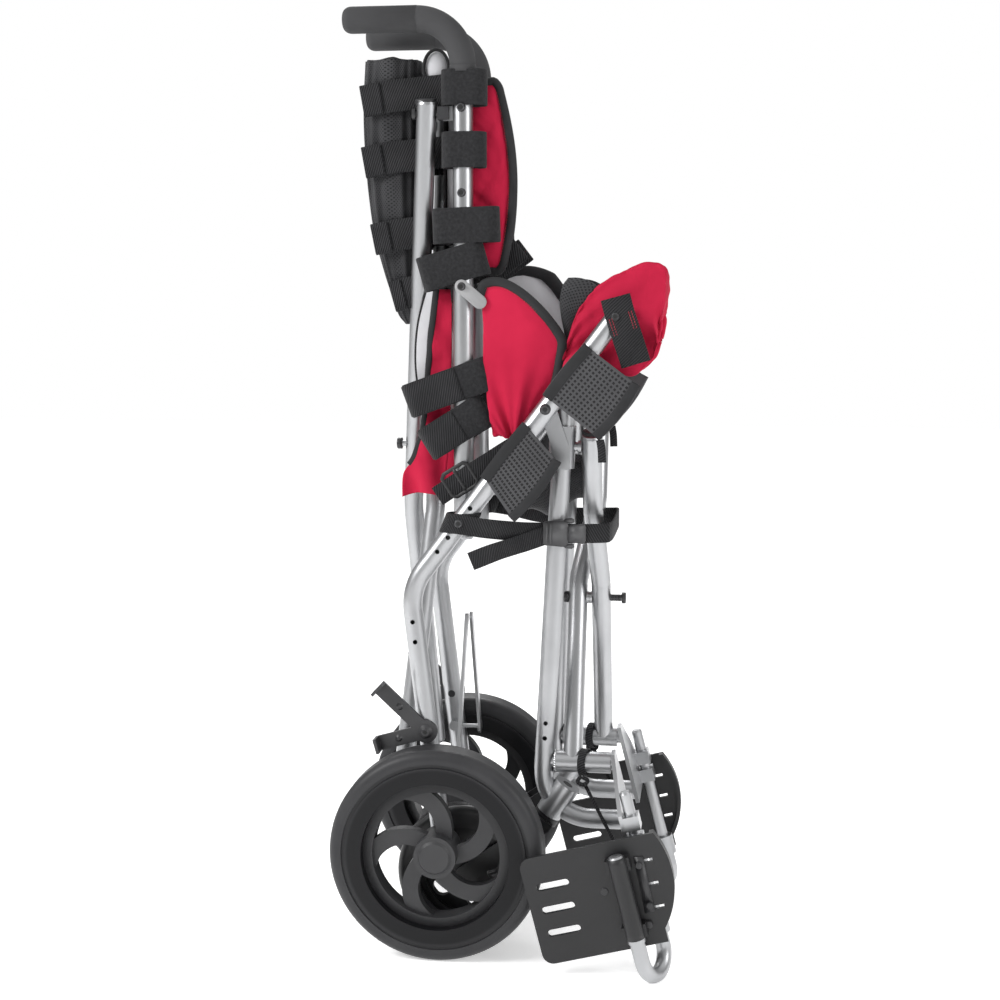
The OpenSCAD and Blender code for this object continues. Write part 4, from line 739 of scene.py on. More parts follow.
def half_bundle(side, sign, outer_count=61, inner_count=7, level_count=61):
    turns = np.linspace(0, 0.5, outer_count) + (0.5 if sign < 0 else 0)
    outer = np.array([[back_point(u, v) for v in np.linspace(0, 1, level_count)] for u in turns])
    inner = np.array([mix(outer[-1], outer[0], t) for t in np.linspace(0, 1, inner_count + 2)[1:-1]])
    shell = np.concatenate([outer, inner])
    shell[:, :, 1] += sign * 0.0004
    count = len(shell)
    points, faces = list(shell.reshape(-1, 3)), []
    uvs = [(0.21 * i / count, p[2]) for i in range(count) for p in shell[i]]
    for i in range(count):
        k = (i + 1) % count
        for j in range(level_count - 1):
            faces.append([i * level_count + j, k * level_count + j, k * level_count + j + 1, i * level_count + j + 1])
    for level, sink in ((0, 0.010), (level_count - 1, -0.014)):
        loops = [[i * level_count + level for i in range(count)]]
        for share in (0.82, 0.5):
            middle = shell[:, level].mean(axis=0) + np.array([0, 0, sink * (1.6 - share)])
            loops.append([len(points) + i for i in range(count)])
            points += [middle + (p - middle) * np.array([share, share, 1.0]) for p in shell[:, level]]
            uvs += [(p[0], p[1]) for p in points[-count:]]
        for a, b in zip(loops, loops[1:]):
            faces += [[a[i], a[(i + 1) % count], b[(i + 1) % count], b[i]] for i in range(count)]
        faces.append(loops[-1])
    return make_piece(side + "_mesh_back", points, faces, uvs, "black_mesh")


def flatten_back(piece):
    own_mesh(piece)


for side, sign in SIDES:
    bundle = half_bundle(side, sign)
    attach(bundle, side + "_cane")
    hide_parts(side + "_back_mesh")
    flatten_back(bundle)
    print("mesh back:", side, len(bundle.data.polygons), "faces")


SHEET_X, SHEET_HALF = -0.0845, 0.046


def centre_point(u, v):
    return (SHEET_X, mix(-SHEET_HALF, SHEET_HALF, u), mix(0.800, 1.098, v))


centre_grid = grid_of(centre_point, 32, 40)
centre = cloth_piece("mesh_back_sheet", centre_grid, 0.0008, "black_mesh")
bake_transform(centre)

# %% [markdown]
# The grey lining hangs in three pleats between the wings, and a fold of it pokes out behind, low down
# between the crossed tubes. Both are sheets, so their cut size is measured from the grid itself.

# %% Lining
def lining_point(u, v):
    y = mix(-0.0462, 0.0462, u)
    x = -0.0721 + 0.0110 * math.cos(3 * 2 * math.pi * u) * (1 - 0.25 * v)
    top = 1.118 + 0.020 * math.sin(math.pi * u)
    return (x, y, mix(0.692, top, v))


lining_grid = crumple(grid_of(lining_point, 64, 60), 0.05, 0.002, 3.1)
lining = cloth_piece("pleated_lining", lining_grid, 0.0014, "grey_lining")
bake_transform(lining)
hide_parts("back_panel")


def fold_point(u, v):
    z = mix(0.715, 0.850, v)
    reach = 0.116 + 0.006 * math.sin(math.pi * v) - 0.010 * v
    turn = math.pi * (u - 0.5)
    return (-0.074 - (reach - 0.074) * math.cos(turn) ** 0.5, 0.0105 * math.sin(turn), z)


fold_grid = crumple(grid_of(fold_point, 34, 30), 0.03, 0.002, 5.0)
fold = cloth_piece("lining_fold", fold_grid, 0.0012, "grey_lining")
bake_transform(fold)


ROLL_X, ROLL_Z = -0.0945, 1.127


def roll_point(u, v):
    turn = 2 * math.pi * v
    plump = (1 - (2 * u - 1) ** 12) ** 0.5
    return (ROLL_X + 0.0155 * plump * math.cos(turn), mix(-0.043, 0.043, u), ROLL_Z + 0.0225 * plump * math.sin(turn))


roll_grid = grid_of(roll_point, 30, 41)[1:-1, :-1]
points = list(roll_grid.reshape(-1, 3)) + [np.array((ROLL_X, y, ROLL_Z)) for y in (-0.0432, 0.0432)]
rows, turns = roll_grid.shape[:2]
faces = [[i * turns + j, i * turns + (j + 1) % turns, (i + 1) * turns + (j + 1) % turns, (i + 1) * turns + j]
         for i in range(rows - 1) for j in range(turns)]
for row, tip in ((0, rows * turns), (rows - 1, rows * turns + 1)):
    faces += [[row * turns + j, row * turns + (j + 1) % turns, tip] for j in range(turns)]
roll = make_piece("head_roll", points, faces, [(p[1], p[2]) for p in points], "grey_lining")
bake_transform(roll)
for side, sign in SIDES:
    ring = [(ROLL_X + 0.0158 * math.cos(t), sign * 0.0410, ROLL_Z + 0.0228 * math.sin(t)) for t in full_turn(40)]
    trim = sweep(side + "_roll_binding", ring, ACROSS, round_section(0.0030, 0.0022), "edge_binding", closed=True)
    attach(trim, side + "_cane")
print("head roll")

# %% [markdown]
# A red skirt hangs from the back's lower edge, behind each cane, and ends in a loose flap. Its rear
# edge is bound in black, and a narrow strip of the lining shows behind it.

# %% Back skirts
SKIRT = [(0.582, -0.141, -0.088, 0.046), (0.612, -0.140, -0.083, 0.047), (0.640, -0.122, -0.081, 0.050),
         (0.700, -0.107, -0.0755, 0.052), (0.760, -0.104, -0.0745, 0.052), (0.850, -0.094, -0.0735, 0.050)]
skirt_ring = track(SKIRT, 61)


def skirt_point(u, v):
    z, rear, front, out = skirt_ring(v)
    ripple = 0.0045 * (1 - v) * math.sin(7 * u + 6 * v) + 0.0015 * math.sin(12 * v + 4 * u)
    return (mix(rear, front, u), -out + ripple, z + 0.006 * (1 - v) * math.sin(3 * u))


skirt_grid = crumple(grid_of(skirt_point, 22, 61), 0.022, 0.004, 8.0)
for side, sign in SIDES:
    grid = on_side(skirt_grid, -sign)
    skirt = cloth_piece(side + "_back_skirt", grid, 0.0013, "red_cloth")
    hem = sweep(side + "_skirt_binding", smooth_path(grid[0, 18:], 60), ALONG, round_section(0.0042, 0.0016),
                "edge_binding")
    for piece in (skirt, hem):
        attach(piece, side + "_cane")
print("skirts")


strip_rear = track([(-0.116,), (-0.122,), (-0.119,), (-0.106,)], 31)


def strip_point(u, v):
    return (mix(strip_rear(v)[0], -0.0965, u), -0.0475 - 0.0012 * math.sin(5 * v + 2 * u), mix(0.705, 0.856, v))


for side, sign in SIDES:
    grid = on_side(grid_of(strip_point, 12, 31), -sign)
    strip = cloth_piece(side + "_lining_edge", grid, 0.0013, "grey_lining")
    hem = sweep(side + "_lining_binding", smooth_path(grid[0], 50), ALONG, round_section(0.0014, 0.0014),
                "edge_binding")
    for piece in (strip, hem):
        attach(piece, side + "_cane")

# %% [markdown]
# The seat folds up between the rails and shows its crumpled red front. It is one sheet that goes over
# a crest, with its middle sagging between the two edges, where the grey top of the seat shows.

# %% Seat
SEAT_PROFILE = [(0.0725, 0.776), (0.094, 0.832), (0.130, 0.866), (0.178, 0.885), (0.1985, 0.874), (0.1965, 0.830),
                (0.190, 0.787)]
SEAT_UNDER = [(0.0600, 0.728), (0.077, 0.744), (0.105, 0.750), (0.135, 0.747), (0.160, 0.742), (0.178, 0.757),
              (0.188, 0.780)]
SEAT_EDGE, SEAT_HALF, HEM_HALF, SEAT_MOST = 0.24, 0.0735, 0.0832, 0.0862
seat_top, seat_hem = track(SEAT_PROFILE, 81), track(SEAT_UNDER, 81)


def seat_point(u, v):
    x, z = seat_top(v)
    edge = min(u, 1 - u) / SEAT_EDGE
    if edge < 1:
        low_x, low_z = seat_hem(v)
        drop = edge ** 0.8
        fold = math.sin(3.4 * math.pi * drop + 3.0 * v) + 0.5 * math.sin(6.5 * math.pi * drop - 4.0 * v)
        out = mix(HEM_HALF, SEAT_HALF, drop) + 0.0042 * fold * math.sin(math.pi * drop)
        return (mix(low_x, x, drop), math.copysign(out, u - 0.5), mix(low_z, z, drop))
    across = (u - SEAT_EDGE) / (1 - 2 * SEAT_EDGE)
    sag = math.sin(math.pi * across) ** 0.7
    z -= 0.026 * sag * math.sin(math.pi * v)
    x -= 0.022 * sag * max(0.0, v - 0.45)
    return (x, mix(-SEAT_HALF, SEAT_HALF, across), z)


seat_grid = crumple(crumple(grid_of(seat_point, 90, 81), 0.040, 0.0065, 1.0), 0.016, 0.0030, 4.0)
seat_grid[:, :, 1] = np.clip(seat_grid[:, :, 1], -SEAT_MOST, SEAT_MOST)
seat = cloth_piece("seat_cloth_red", seat_grid, 0.0016, "red_cloth")
seat.data.materials.append(FINISHES["grey_lining"])
for face in seat.data.polygons:
    p = face.center
    if abs(p.y) < 0.060 and p.x < 0.176 and p.z > 0.79 and face.normal.z > 0:
        face.material_index = 1
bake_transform(seat)
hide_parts("seat_cloth")

# %% [markdown]
# A broad band of padded mesh stands behind the seat's crest on each side, and a mesh sling hangs below the
# seat between the legs.

# %% Thigh bands and sling
band_rear = track([(0.0742, 0.7867), (0.0666, 0.8279), (0.0690, 0.8520), (0.0767, 0.8640)], 31)
band_front = track([(0.0800, 0.7860), (0.0889, 0.8132), (0.1050, 0.8350), (0.1211, 0.8480)], 31)


def band_point(u, v):
    x, z = mix(band_rear(v), band_front(v), u)
    return (x, -0.0680 - 0.0022 * math.sin(math.pi * u), z + 0.0060 * math.sin(math.pi * u) * v)


band_grid = grid_of(band_point, 16, 31)
band_thick = crowned(0.0022, 0.0030, 4, 6, 16, 31)
for side, sign in SIDES:
    band = cloth_piece(side + "_thigh_band", on_side(band_grid, -sign), band_thick, "black_mesh")
    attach(band, side + "_rail")


SLING_HALF = 0.047


def sling_point(u, v):
    y = mix(-SLING_HALF, SLING_HALF, u)
    x = mix(0.010, 0.093, v) + 0.003 * math.sin(9 * u)
    low = 0.556 + 0.020 * v ** 2 + 0.006 * math.sin(9 * v)
    return (x, y, mix(0.640 - 0.01 * v, low, math.sin(math.pi * u) ** 0.5))


sling_grid = crumple(grid_of(sling_point, 40, 41), 0.03, 0.003, 6.0)
sling = cloth_piece("under_sling", sling_grid, 0.0013, "black_mesh")
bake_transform(sling)

# %% [markdown]
# Six straps hold the cloth to each cane, and each wraps the tube in fuzzy hook-and-loop tape. The upper
# four have a webbing tail that runs on to the mesh back and turns back on itself at the end. The lower
# two have webbing lapped over them. A strap's row holds its height over the hip, how far it reaches
# behind and before the tube, and its tilt; a tail's row its place across, its drop and its far end.

# %% Cane straps
CANE_X, CANE_Y, TUBE_R, HIP_Z = -0.05608, 0.070, 0.0127, 0.55732
STRAP_WIDTH, STRAP_GAP, LAP_LIFT = 0.044, 0.0013, 0.0018
STRAPS = [(0.541, 0.026, 0.030, 0), (0.465, 0.026, 0.029, 0), (0.372, 0.038, 0.046, -2), (0.325, 0.056, 0.030, -16),
          (0.176, 0.076, 0.036, -20), (0.124, 0.056, 0.036, -32)]
TAILS = [(0.0465, 0.0, -0.1890), (0.0423, 0.0, -0.1885), (0.0400, 0.004, -0.1775), (0.0365, 0.030, -0.1540)]


def wrap_path(back, front, lift=0.0, lap=False):
    r = TUBE_R + STRAP_GAP + lift
    outer = [(x, r) for x in np.linspace(-0.004 if lap else front - r, -back + r, 14)]
    rear = [(-back + r - r * math.sin(t), r * math.cos(t)) for t in np.linspace(0, 1.9 if lap else math.pi, 16)[1:]]
    if lap:
        return np.array(outer + rear)
    inner = [(x, -r) for x in np.linspace(-back + r, front - r, 14)[1:]]
    nose = [(front - r + r * math.sin(t), -r * math.cos(t)) for t in np.linspace(0, math.pi, 16)[1:-1]]
    return np.array(outer + rear + inner + nose)


def on_cane(path, up, tilt, sign):
    t = math.radians(tilt)
    x, y = path[:, 0], path[:, 1]
    return np.stack([CANE_X + x * math.cos(t), sign * (CANE_Y + y), HIP_Z + up - x * math.sin(t)], axis=1)


for side, sign in SIDES:
    parts, tails = [], []
    for i, (up, back, front, tilt) in enumerate(STRAPS):
        t = math.radians(tilt)
        wide = (math.sin(t), 0, math.cos(t))
        path = on_cane(wrap_path(back, front), up, tilt, sign)
        parts.append(sweep("wrap", path, wide, tape_section(STRAP_WIDTH, 0.0020), "loop_fuzz", closed=True))
        if i >= len(TAILS):
            over = on_cane(wrap_path(back + LAP_LIFT, front, lift=LAP_LIFT, lap=True), up, tilt, sign)
            parts.append(sweep("lap", over, wide, tape_section(STRAP_WIDTH - 0.003, 0.0016), "webbing"))
            continue
        y, drop, far = TAILS[i]
        z = HIP_Z + up - drop
        course = [(-0.070, CANE_Y - TUBE_R - 0.001, z), (-0.082, y + 0.004, z), (-0.100, y, z - 0.001),
                  (mix(-0.1, far, 0.6), y + 0.001, z - 0.006), (far, y + 0.0005, z - 0.012)]
        tail = smooth_path(on_side(course, sign), 60)
        tails.append(sweep("tail", tail, UPRIGHT, tape_section(STRAP_WIDTH - 0.004, 0.0018), "webbing"))
        tails.append(sweep("turn", tail[-12:] + np.array([0, sign * 0.0022, 0]), UPRIGHT,
                           tape_section(STRAP_WIDTH - 0.006, 0.0018), "webbing"))
    straps = join(side + "_cane_strapping", parts)
    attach(straps, side + "_cane")
    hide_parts(side + "_cane_straps")
    ends = join(side + "_strap_tails", tails)
    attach(ends, side + "_cane")
    flatten_back(ends)
print("cane straps:", len(STRAPS), "a side")

# %% [markdown]
# Two perforated mesh pockets hang over each rail. The cloth itself is a sheet with a taped hem at the top
# and bottom, and the upper pocket ends in a webbing tip.

# %% Pockets
POCKETS = [((0.1003, 0.783), (0.0498, 0.721), (0.1697, 0.7304), (0.1212, 0.6648)),
           ((0.0263, 0.6854), (-0.0253, 0.6189), (0.0711, 0.6347), (0.0143, 0.5612))]
HEMS = ((0.08, 0.014), (1.0 - 0.07, 0.012))
POCKET_Y, DOWN_X, DOWN_Z = 0.1148, 0.799, -0.602


def pocket_point(corner, u, v, sign, lift=0.0):
    a, b, d, c = (np.array(p) for p in corner)
    x, z = mix(mix(a, b, u), mix(d, c, u), v)
    x, z = np.array([x, z]) + 0.006 * math.sin(math.pi * u) * (v - 0.3) * np.array([DOWN_X, DOWN_Z])
    y = POCKET_Y + 0.0010 * math.sin(math.pi * v) * math.sin(math.pi * u) + 0.0006 * math.sin(6 * u + 5 * v) + lift
    return (x, sign * y, z)


for side, sign in SIDES:
    for number, corner in enumerate(POCKETS):
        grid = grid_of(lambda u, v: pocket_point(corner, u, v, sign), 30, 30)
        pocket = cloth_piece(f"{side}_rail_pocket_{number + 1}", grid, 0.0014, "pocket_weave")
        trims = []
        for v, width in HEMS:
            path = np.array([pocket_point(corner, u, v, sign, 0.0009) for u in np.linspace(-0.01, 1.01, 30)])
            trims.append(sweep("trim", path, (DOWN_X, 0, DOWN_Z), tape_section(width, 0.0022), "edge_binding"))
        if number == 0:
            low = np.array(pocket_point(corner, 1.0, 1.0, sign, 0.0004))
            hang = ((0.0, 0.0, 0.0), (0.002, 0.0, -0.012), (0.0028, sign * 0.0004, -0.028))
            tip = smooth_path([low + np.array(step) for step in hang], 12)
            trims.append(sweep("tip", tip, (1, 0, 0), tape_section(0.010, 0.0018), "webbing"))
        trim = join(f"{side}_pocket_trim_{number + 1}", trims)
        for piece in (pocket, trim):
            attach(piece, side + "_rail")
        if number == 0:
            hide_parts(side + "_rail_mesh")
print("pockets:", len(POCKETS), "a side")

# %% [markdown]
# The perforation tree takes a coarse copy of the pocket, turns each face into a point and sets a small
# dark square there, turned to face outwards. Its inputs are the square's size and its finish.

# %% Perforations
def node_tree(name, takes):
    tree = bpy.data.node_groups.new(name, "GeometryNodeTree")
    tree.interface.new_socket("Geometry", in_out="INPUT", socket_type="NodeSocketGeometry")
    ids = {}
    for label, kind in takes:
        ids[label] = tree.interface.new_socket(label, in_out="INPUT", socket_type=kind).identifier
    tree.interface.new_socket("Geometry", in_out="OUTPUT", socket_type="NodeSocketGeometry")
    return tree, ids, tree.nodes.new("NodeGroupInput"), tree.nodes.new("NodeGroupOutput")


def end_tree(tree, source, start, done):
    real = tree.nodes.new("GeometryNodeRealizeInstances")
    paint = tree.nodes.new("GeometryNodeSetMaterial")
    connect(tree, (source, real.inputs[0]), (real.outputs[0], paint.inputs["Geometry"]),
            (start.outputs["Finish"], paint.inputs["Material"]), (paint.outputs[0], done.inputs[0]))


def run_tree(name, mesh, tree, ids, values):
    piece = add_object(name, mesh)
    modifier = piece.modifiers.new("nodes", "NODES")
    modifier.node_group = tree
    for label, value in values.items():
        modifier[ids[label]] = value
    return settle(piece)


punch, punch_ids, start, done = node_tree("perforations", [("Hole", FLOAT), ("Finish", MATERIAL)])
keep = add_node(punch, "GeometryNodeCaptureAttribute", domain="FACE")
keep.capture_items.new("VECTOR", "facing")
facing = punch.nodes.new("GeometryNodeInputNormal")
dots = add_node(punch, "GeometryNodeMeshToPoints", mode="FACES")
turn = punch.nodes.new("FunctionNodeAlignRotationToVector")
square = add_node(punch, "GeometryNodeMeshCircle", {"Vertices": 4}, fill_type="NGON")
place = punch.nodes.new("GeometryNodeInstanceOnPoints")
connect(punch, (start.outputs["Geometry"], keep.inputs["Geometry"]), (facing.outputs[0], keep.inputs["facing"]),
        (keep.outputs["Geometry"], dots.inputs["Mesh"]), (dots.outputs[0], place.inputs["Points"]),
        (start.outputs["Hole"], square.inputs["Radius"]), (square.outputs[0], place.inputs["Instance"]),
        (keep.outputs["facing"], turn.inputs["Vector"]), (turn.outputs[0], place.inputs["Rotation"]))
end_tree(punch, place.outputs[0], start, done)
finish("black_mesh", (0.006, 0.006, 0.007), (0.012, 0.011, 0.012), 0.9, fine=900, broad=60, name="hole_shadow")
HOLE_ROWS, HOLE_COLUMNS, HOLE_SIZE = 14, 12, 0.0021
row = HOLE_COLUMNS + 1
for side, sign in SIDES:
    for number, corner in enumerate(POCKETS):
        dots_grid = grid_of(lambda u, v: pocket_point(corner, mix(0.03, 0.97, u), mix(0.15, 0.87, v), sign, 0.00095),
                            HOLE_ROWS + 1, HOLE_COLUMNS + 1)
        mesh = bpy.data.meshes.new("dots")
        quads = [[i * row + j, (i + 1) * row + j, (i + 1) * row + j + 1, i * row + j + 1][::1 if sign < 0 else -1]
                 for i in range(HOLE_ROWS) for j in range(HOLE_COLUMNS)]
        mesh.from_pydata([tuple(p) for p in dots_grid.reshape(-1, 3)], [], quads)
        holes = run_tree(f"{side}_pocket_holes_{number + 1}", mesh, punch, punch_ids,
                         {"Hole": HOLE_SIZE, "Finish": FINISHES["hole_shadow"]})
        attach(holes, side + "_rail")
print("holes a pocket:", len(quads))

# %% [markdown]
# The transport strap is buckled round the folded frame: it turns round each rail at the hip, passes the
# leg and closes in front.

# %% Transport strap and buckle
BELT_WIDE, HIP_X, HIP_LOOP_Z = 0.0245, -0.0561, 0.5573
BELT = [(-0.0700, 0.1128, 0.5565), (HIP_X, 0.1141, 0.5560), (-0.022, 0.1134, 0.5515), (0.016, 0.0945, 0.546),
        (0.0444, 0.0836, 0.544), (0.085, 0.0830, 0.543), (0.1240, 0.0822, 0.544), (0.1325, 0.0745, 0.545),
        (0.1348, 0.050, 0.546), (0.1350, 0.0, 0.546)]
BELT_END = [(0.050, -0.0856, 0.5400), (0.020, -0.0955, 0.5300), (-0.010, -0.1155, 0.5220), (-0.040, -0.1185, 0.5100)]
for side, sign in SIDES:
    run = smooth_path(on_side(BELT, sign), 110)
    parts = [sweep("run", run, UPRIGHT, tape_section(BELT_WIDE, 0.0020), "webbing")]
    hip = [(HIP_X + 0.0215 * math.cos(t), sign * (0.1000 + 0.0139 * math.sin(t)), HIP_LOOP_Z) for t in full_turn(48)]
    hip_turn = sweep("hip_turn", hip, UPRIGHT, tape_section(BELT_WIDE, 0.0018), "webbing", closed=True)
    for v in hip_turn.data.vertices:
        v.co.x += (v.co.z - HIP_LOOP_Z) * 0.4
    parts.append(hip_turn)
    if side == "right":
        loose = smooth_path(BELT_END, 50)
        parts.append(sweep("loose", loose, (0.12, 0, 1), tape_section(0.0235, 0.0018), "webbing"))
    belt = join(side + "_transport_strap", parts)
    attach(belt, side + "_rail")
    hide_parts(side + "_belt")
    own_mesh(belt)


def moulded_plate(name, outline, low, high, finish_name, round_off=0.0012):
    work = bmesh.new()
    ring = [work.verts.new((x, low, z)) for x, z in outline]
    face = work.faces.new(ring)
    top = bmesh.ops.extrude_face_region(work, geom=[face])
    for v in [g for g in top["geom"] if isinstance(g, bmesh.types.BMVert)]:
        v.co.y = high
    bmesh.ops.recalc_face_normals(work, faces=work.faces)
    bmesh.ops.bevel(work, geom=list(work.edges), offset=round_off, segments=2, affect="EDGES", clamp_overlap=True)
    work.loops.layers.uv.new("UVMap")
    mesh = bpy.data.meshes.new(name)
    work.to_mesh(mesh)
    work.free()
    return shaded_piece(name, mesh, finish_name)


socket = [(0.048, 0.528), (0.076, 0.526), (0.080, 0.531), (0.080, 0.555), (0.076, 0.560), (0.048, 0.558)]
prongs = [(0.078, 0.533), (0.100, 0.530), (0.102, 0.533), (0.102, 0.553), (0.100, 0.556), (0.078, 0.553)]
tabs = [[(0.074, z), (0.086, z - 0.001), (0.088, z + 0.003), (0.086, z + 0.006), (0.074, z + 0.005)]
        for z in (0.5245, 0.5570)]
parts = [moulded_plate("socket", socket, -0.0890, -0.0790, "buckle_plastic", 0.0016),
         moulded_plate("prongs", prongs, -0.0875, -0.0800, "buckle_plastic", 0.0014)]
parts += [moulded_plate("tab", t, -0.0868, -0.0812, "buckle_plastic") for t in tabs]
parts += [moulded_plate("bar", [(x, 0.5300), (x + 0.003, 0.5300), (x + 0.003, 0.5560), (x, 0.5560)], -0.0900, -0.0885,
                        "buckle_plastic", 0.0006) for x in (0.051, 0.056)]
buckle = join("side_release_buckle", parts)
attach(buckle, "right_rail")
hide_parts("belt_buckle")
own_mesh(buckle)
print("transport strap and buckle")

# %% [markdown]
# Smaller straps: webbing bolted to each rail's tip, which is sewn with red thread further on, and a slide
# adjuster on the strap that draws the seat's depth in.

# %% Rail-tip webbing and slide adjuster
TIP = [(0.1385, 0.1142, 0.8400), (0.1440, 0.1146, 0.8200), (0.1520, 0.1142, 0.7960), (0.1605, 0.1090, 0.7700),
       (0.1640, 0.1040, 0.7580)]
DEPTH = [(0.0100, 0.0850, 0.6510), (-0.030, 0.0852, 0.6265), (-0.0880, 0.0850, 0.5875)]
DEPTH_COS, DEPTH_SIN, SLIDE_X, SLIDE_Z = 0.85, 0.53, -0.0590, 0.6095
SLIDE_LONG, SLIDE_WIDE = 0.019, 0.0165
for side, sign in SIDES:
    tip = sweep(side + "_tip_webbing", smooth_path(on_side(TIP, sign), 50), (0.93, 0, 0.36),
                tape_section(0.037, 0.0020), "webbing")
    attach(tip, side + "_rail")
    strap = sweep("run", smooth_path(on_side(DEPTH, sign), 40), (-DEPTH_SIN, 0, DEPTH_COS),
                  tape_section(0.026, 0.0016), "webbing")
    ring = []
    for x, z in ((SLIDE_LONG, SLIDE_WIDE), (-SLIDE_LONG, SLIDE_WIDE), (-SLIDE_LONG, -SLIDE_WIDE),
                 (SLIDE_LONG, -SLIDE_WIDE)):
        ring.append((SLIDE_X + x * DEPTH_COS - z * DEPTH_SIN, sign * 0.0850, SLIDE_Z + x * DEPTH_SIN + z * DEPTH_COS))
    corners = np.array(ring)
    loop = np.concatenate([np.linspace(corners[i], corners[(i + 1) % 4], 9)[1:-1] for i in range(4)])
    wire = round_section(0.0019, 0.0026)
    frame_bar = sweep("ring", loop, ACROSS, wire, "black_moulding", closed=True)
    bar = sweep("bar", np.linspace((corners[0] + corners[1]) / 2, (corners[2] + corners[3]) / 2, 6), ACROSS, wire,
                "black_moulding")
    slide = join(side + "_depth_strap", [strap, frame_bar, bar])
    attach(slide, side + "_cane")
print("tip webbing and adjusters")

# %% [markdown]
# A black harness pad lies against each wing, and a tie strap is knotted round each brace sleeve.

# %% Harness pads and ties
TIE_X, TIE_Y, TIE_Z = 0.1012, 0.066, 0.2415
KNOT = [(-0.004, 0.0790, 0.2260), (-0.008, 0.0830, 0.2200), (0, 0.0840, 0.2165), (0.005, 0.0815, 0.2215),
        (-0.002, 0.0800, 0.2255)]
TIE_END = [(0, 0.0815, 0.2190), (0.012, 0.0830, 0.1960), (0.026, 0.0835, 0.1690), (0.040, 0.0830, 0.1420)]


def pad_point(u, v):
    middle = mix(np.array((-0.042, 0.862)), np.array((0.012, 0.903)), u)
    x, z = middle + mix(-0.017, 0.017, v) * np.array((0.61, -0.79))
    return (x, -0.030 + 0.002 * math.sin(4 * u), z)


crown = crowned(0.003, 0.006, 6, 4, 24, 14)
for side, sign in SIDES:
    pad = cloth_piece(side + "_harness_pad", on_side(grid_of(pad_point, 24, 14), -sign), crown, "webbing")
    subdivide(pad)
    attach(pad, side + "_cane")
    ring = [(TIE_X + 0.004 * math.cos(t), sign * TIE_Y + 0.0152 * math.cos(t), TIE_Z + 0.0170 * math.sin(t))
            for t in full_turn(40)]
    tie = sweep("ring", ring, ALONG, tape_section(0.010, 0.0016), "webbing", closed=True)
    knot_path, tail_path = (smooth_path(on_side([(TIE_X + x, y, z) for x, y, z in path], sign), count)
                            for path, count in ((KNOT, 40), (TIE_END, 30)))
    knot = sweep("knot", knot_path, ACROSS, round_section(0.0034, 0.0026), "webbing")
    tail = sweep("tail", tail_path, (0.9, 0, 0.3), tape_section(0.0045, 0.0014), "webbing")
    knotted = join(side + "_brace_tie", [tie, knot, tail])
    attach(knotted, side + "_leg")
print("harness pads and ties")

# %% [markdown]
# Stitches are short thread beads along a line. The tree resamples the line at the stitch pitch and sets
# a stretched bead at each point, turned along the line, so one tree sews every seam.

# %% Stitches
sew, sew_ids, start, done = node_tree("stitch_row", [("Pitch", FLOAT), ("Thread", FLOAT), ("Finish", MATERIAL)])
line = sew.nodes.new("GeometryNodeMeshToCurve")
steps = add_node(sew, "GeometryNodeCurveToPoints", mode="LENGTH")
bead = add_node(sew, "GeometryNodeMeshUVSphere", {"Segments": 6, "Rings": 4})
stretch = add_node(sew, "GeometryNodeTransform", {"Scale": (1.0, 1.0, 3.4)})
place = sew.nodes.new("GeometryNodeInstanceOnPoints")
connect(sew, (start.outputs["Geometry"], line.inputs["Mesh"]), (line.outputs[0], steps.inputs["Curve"]),
        (start.outputs["Pitch"], steps.inputs["Length"]), (start.outputs["Thread"], bead.inputs["Radius"]),
        (bead.outputs[0], stretch.inputs["Geometry"]), (stretch.outputs[0], place.inputs["Instance"]),
        (steps.outputs["Points"], place.inputs["Points"]), (steps.outputs["Rotation"], place.inputs["Rotation"]))
end_tree(sew, place.outputs[0], start, done)


def seam_mesh(lines):
    points, edges = [], []
    for path in lines:
        edges += [(len(points) + k, len(points) + k + 1) for k in range(len(path) - 1)]
        points += [tuple(p) for p in path]
    mesh = bpy.data.meshes.new("seam")
    mesh.from_pydata(points, edges, [])
    return mesh


for side, sign in SIDES:
    lines = []
    for shift in (-0.0145, -0.011, 0.011, 0.0145):
        lines.append([(x + shift * 0.93, sign * (0.1158 if z > 0.80 else 0.1152), z + shift * 0.36)
                      for x, z in ((0.1450, 0.8170), (0.1482, 0.8075), (0.1512, 0.7985))])
    sewn = run_tree(side + "_tip_stitches", seam_mesh(lines), sew, sew_ids,
                    {"Pitch": 0.0032, "Thread": 0.00045, "Finish": FINISHES["red_thread"]})
    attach(sewn, side + "_rail")
    rim = [panel_point(u, 0.945) for u in np.linspace(0.05, 0.95, 40)]
    top = [wing_point(0.93, v) for v in np.linspace(0.06, 0.94, 60)]
    if side == "left":
        rim = [(x, y, raised(x, z)) for x, y, z in rim]
        top = [(pressed_flat(x), y, z) for x, y, z in top]
    lines = [[(x, sign * 0.0826, z) for x, y, z in rim], [(x, sign * 0.0522, z) for x, y, z in top]]
    sewn = run_tree(side + "_edge_stitches", seam_mesh(lines), sew, sew_ids,
                    {"Pitch": 0.0036, "Thread": 0.0004, "Finish": FINISHES["red_thread"]})
    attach(sewn, side + "_cane")
print("stitches:", len(sewn.data.polygons), "faces on one side's edges")

# %% [markdown]
# The bolts' heads have a hex socket in a rounded rim. Two small trees set a rim and a dark hexagon on
# each head, at points taken from the solids' own bolts.

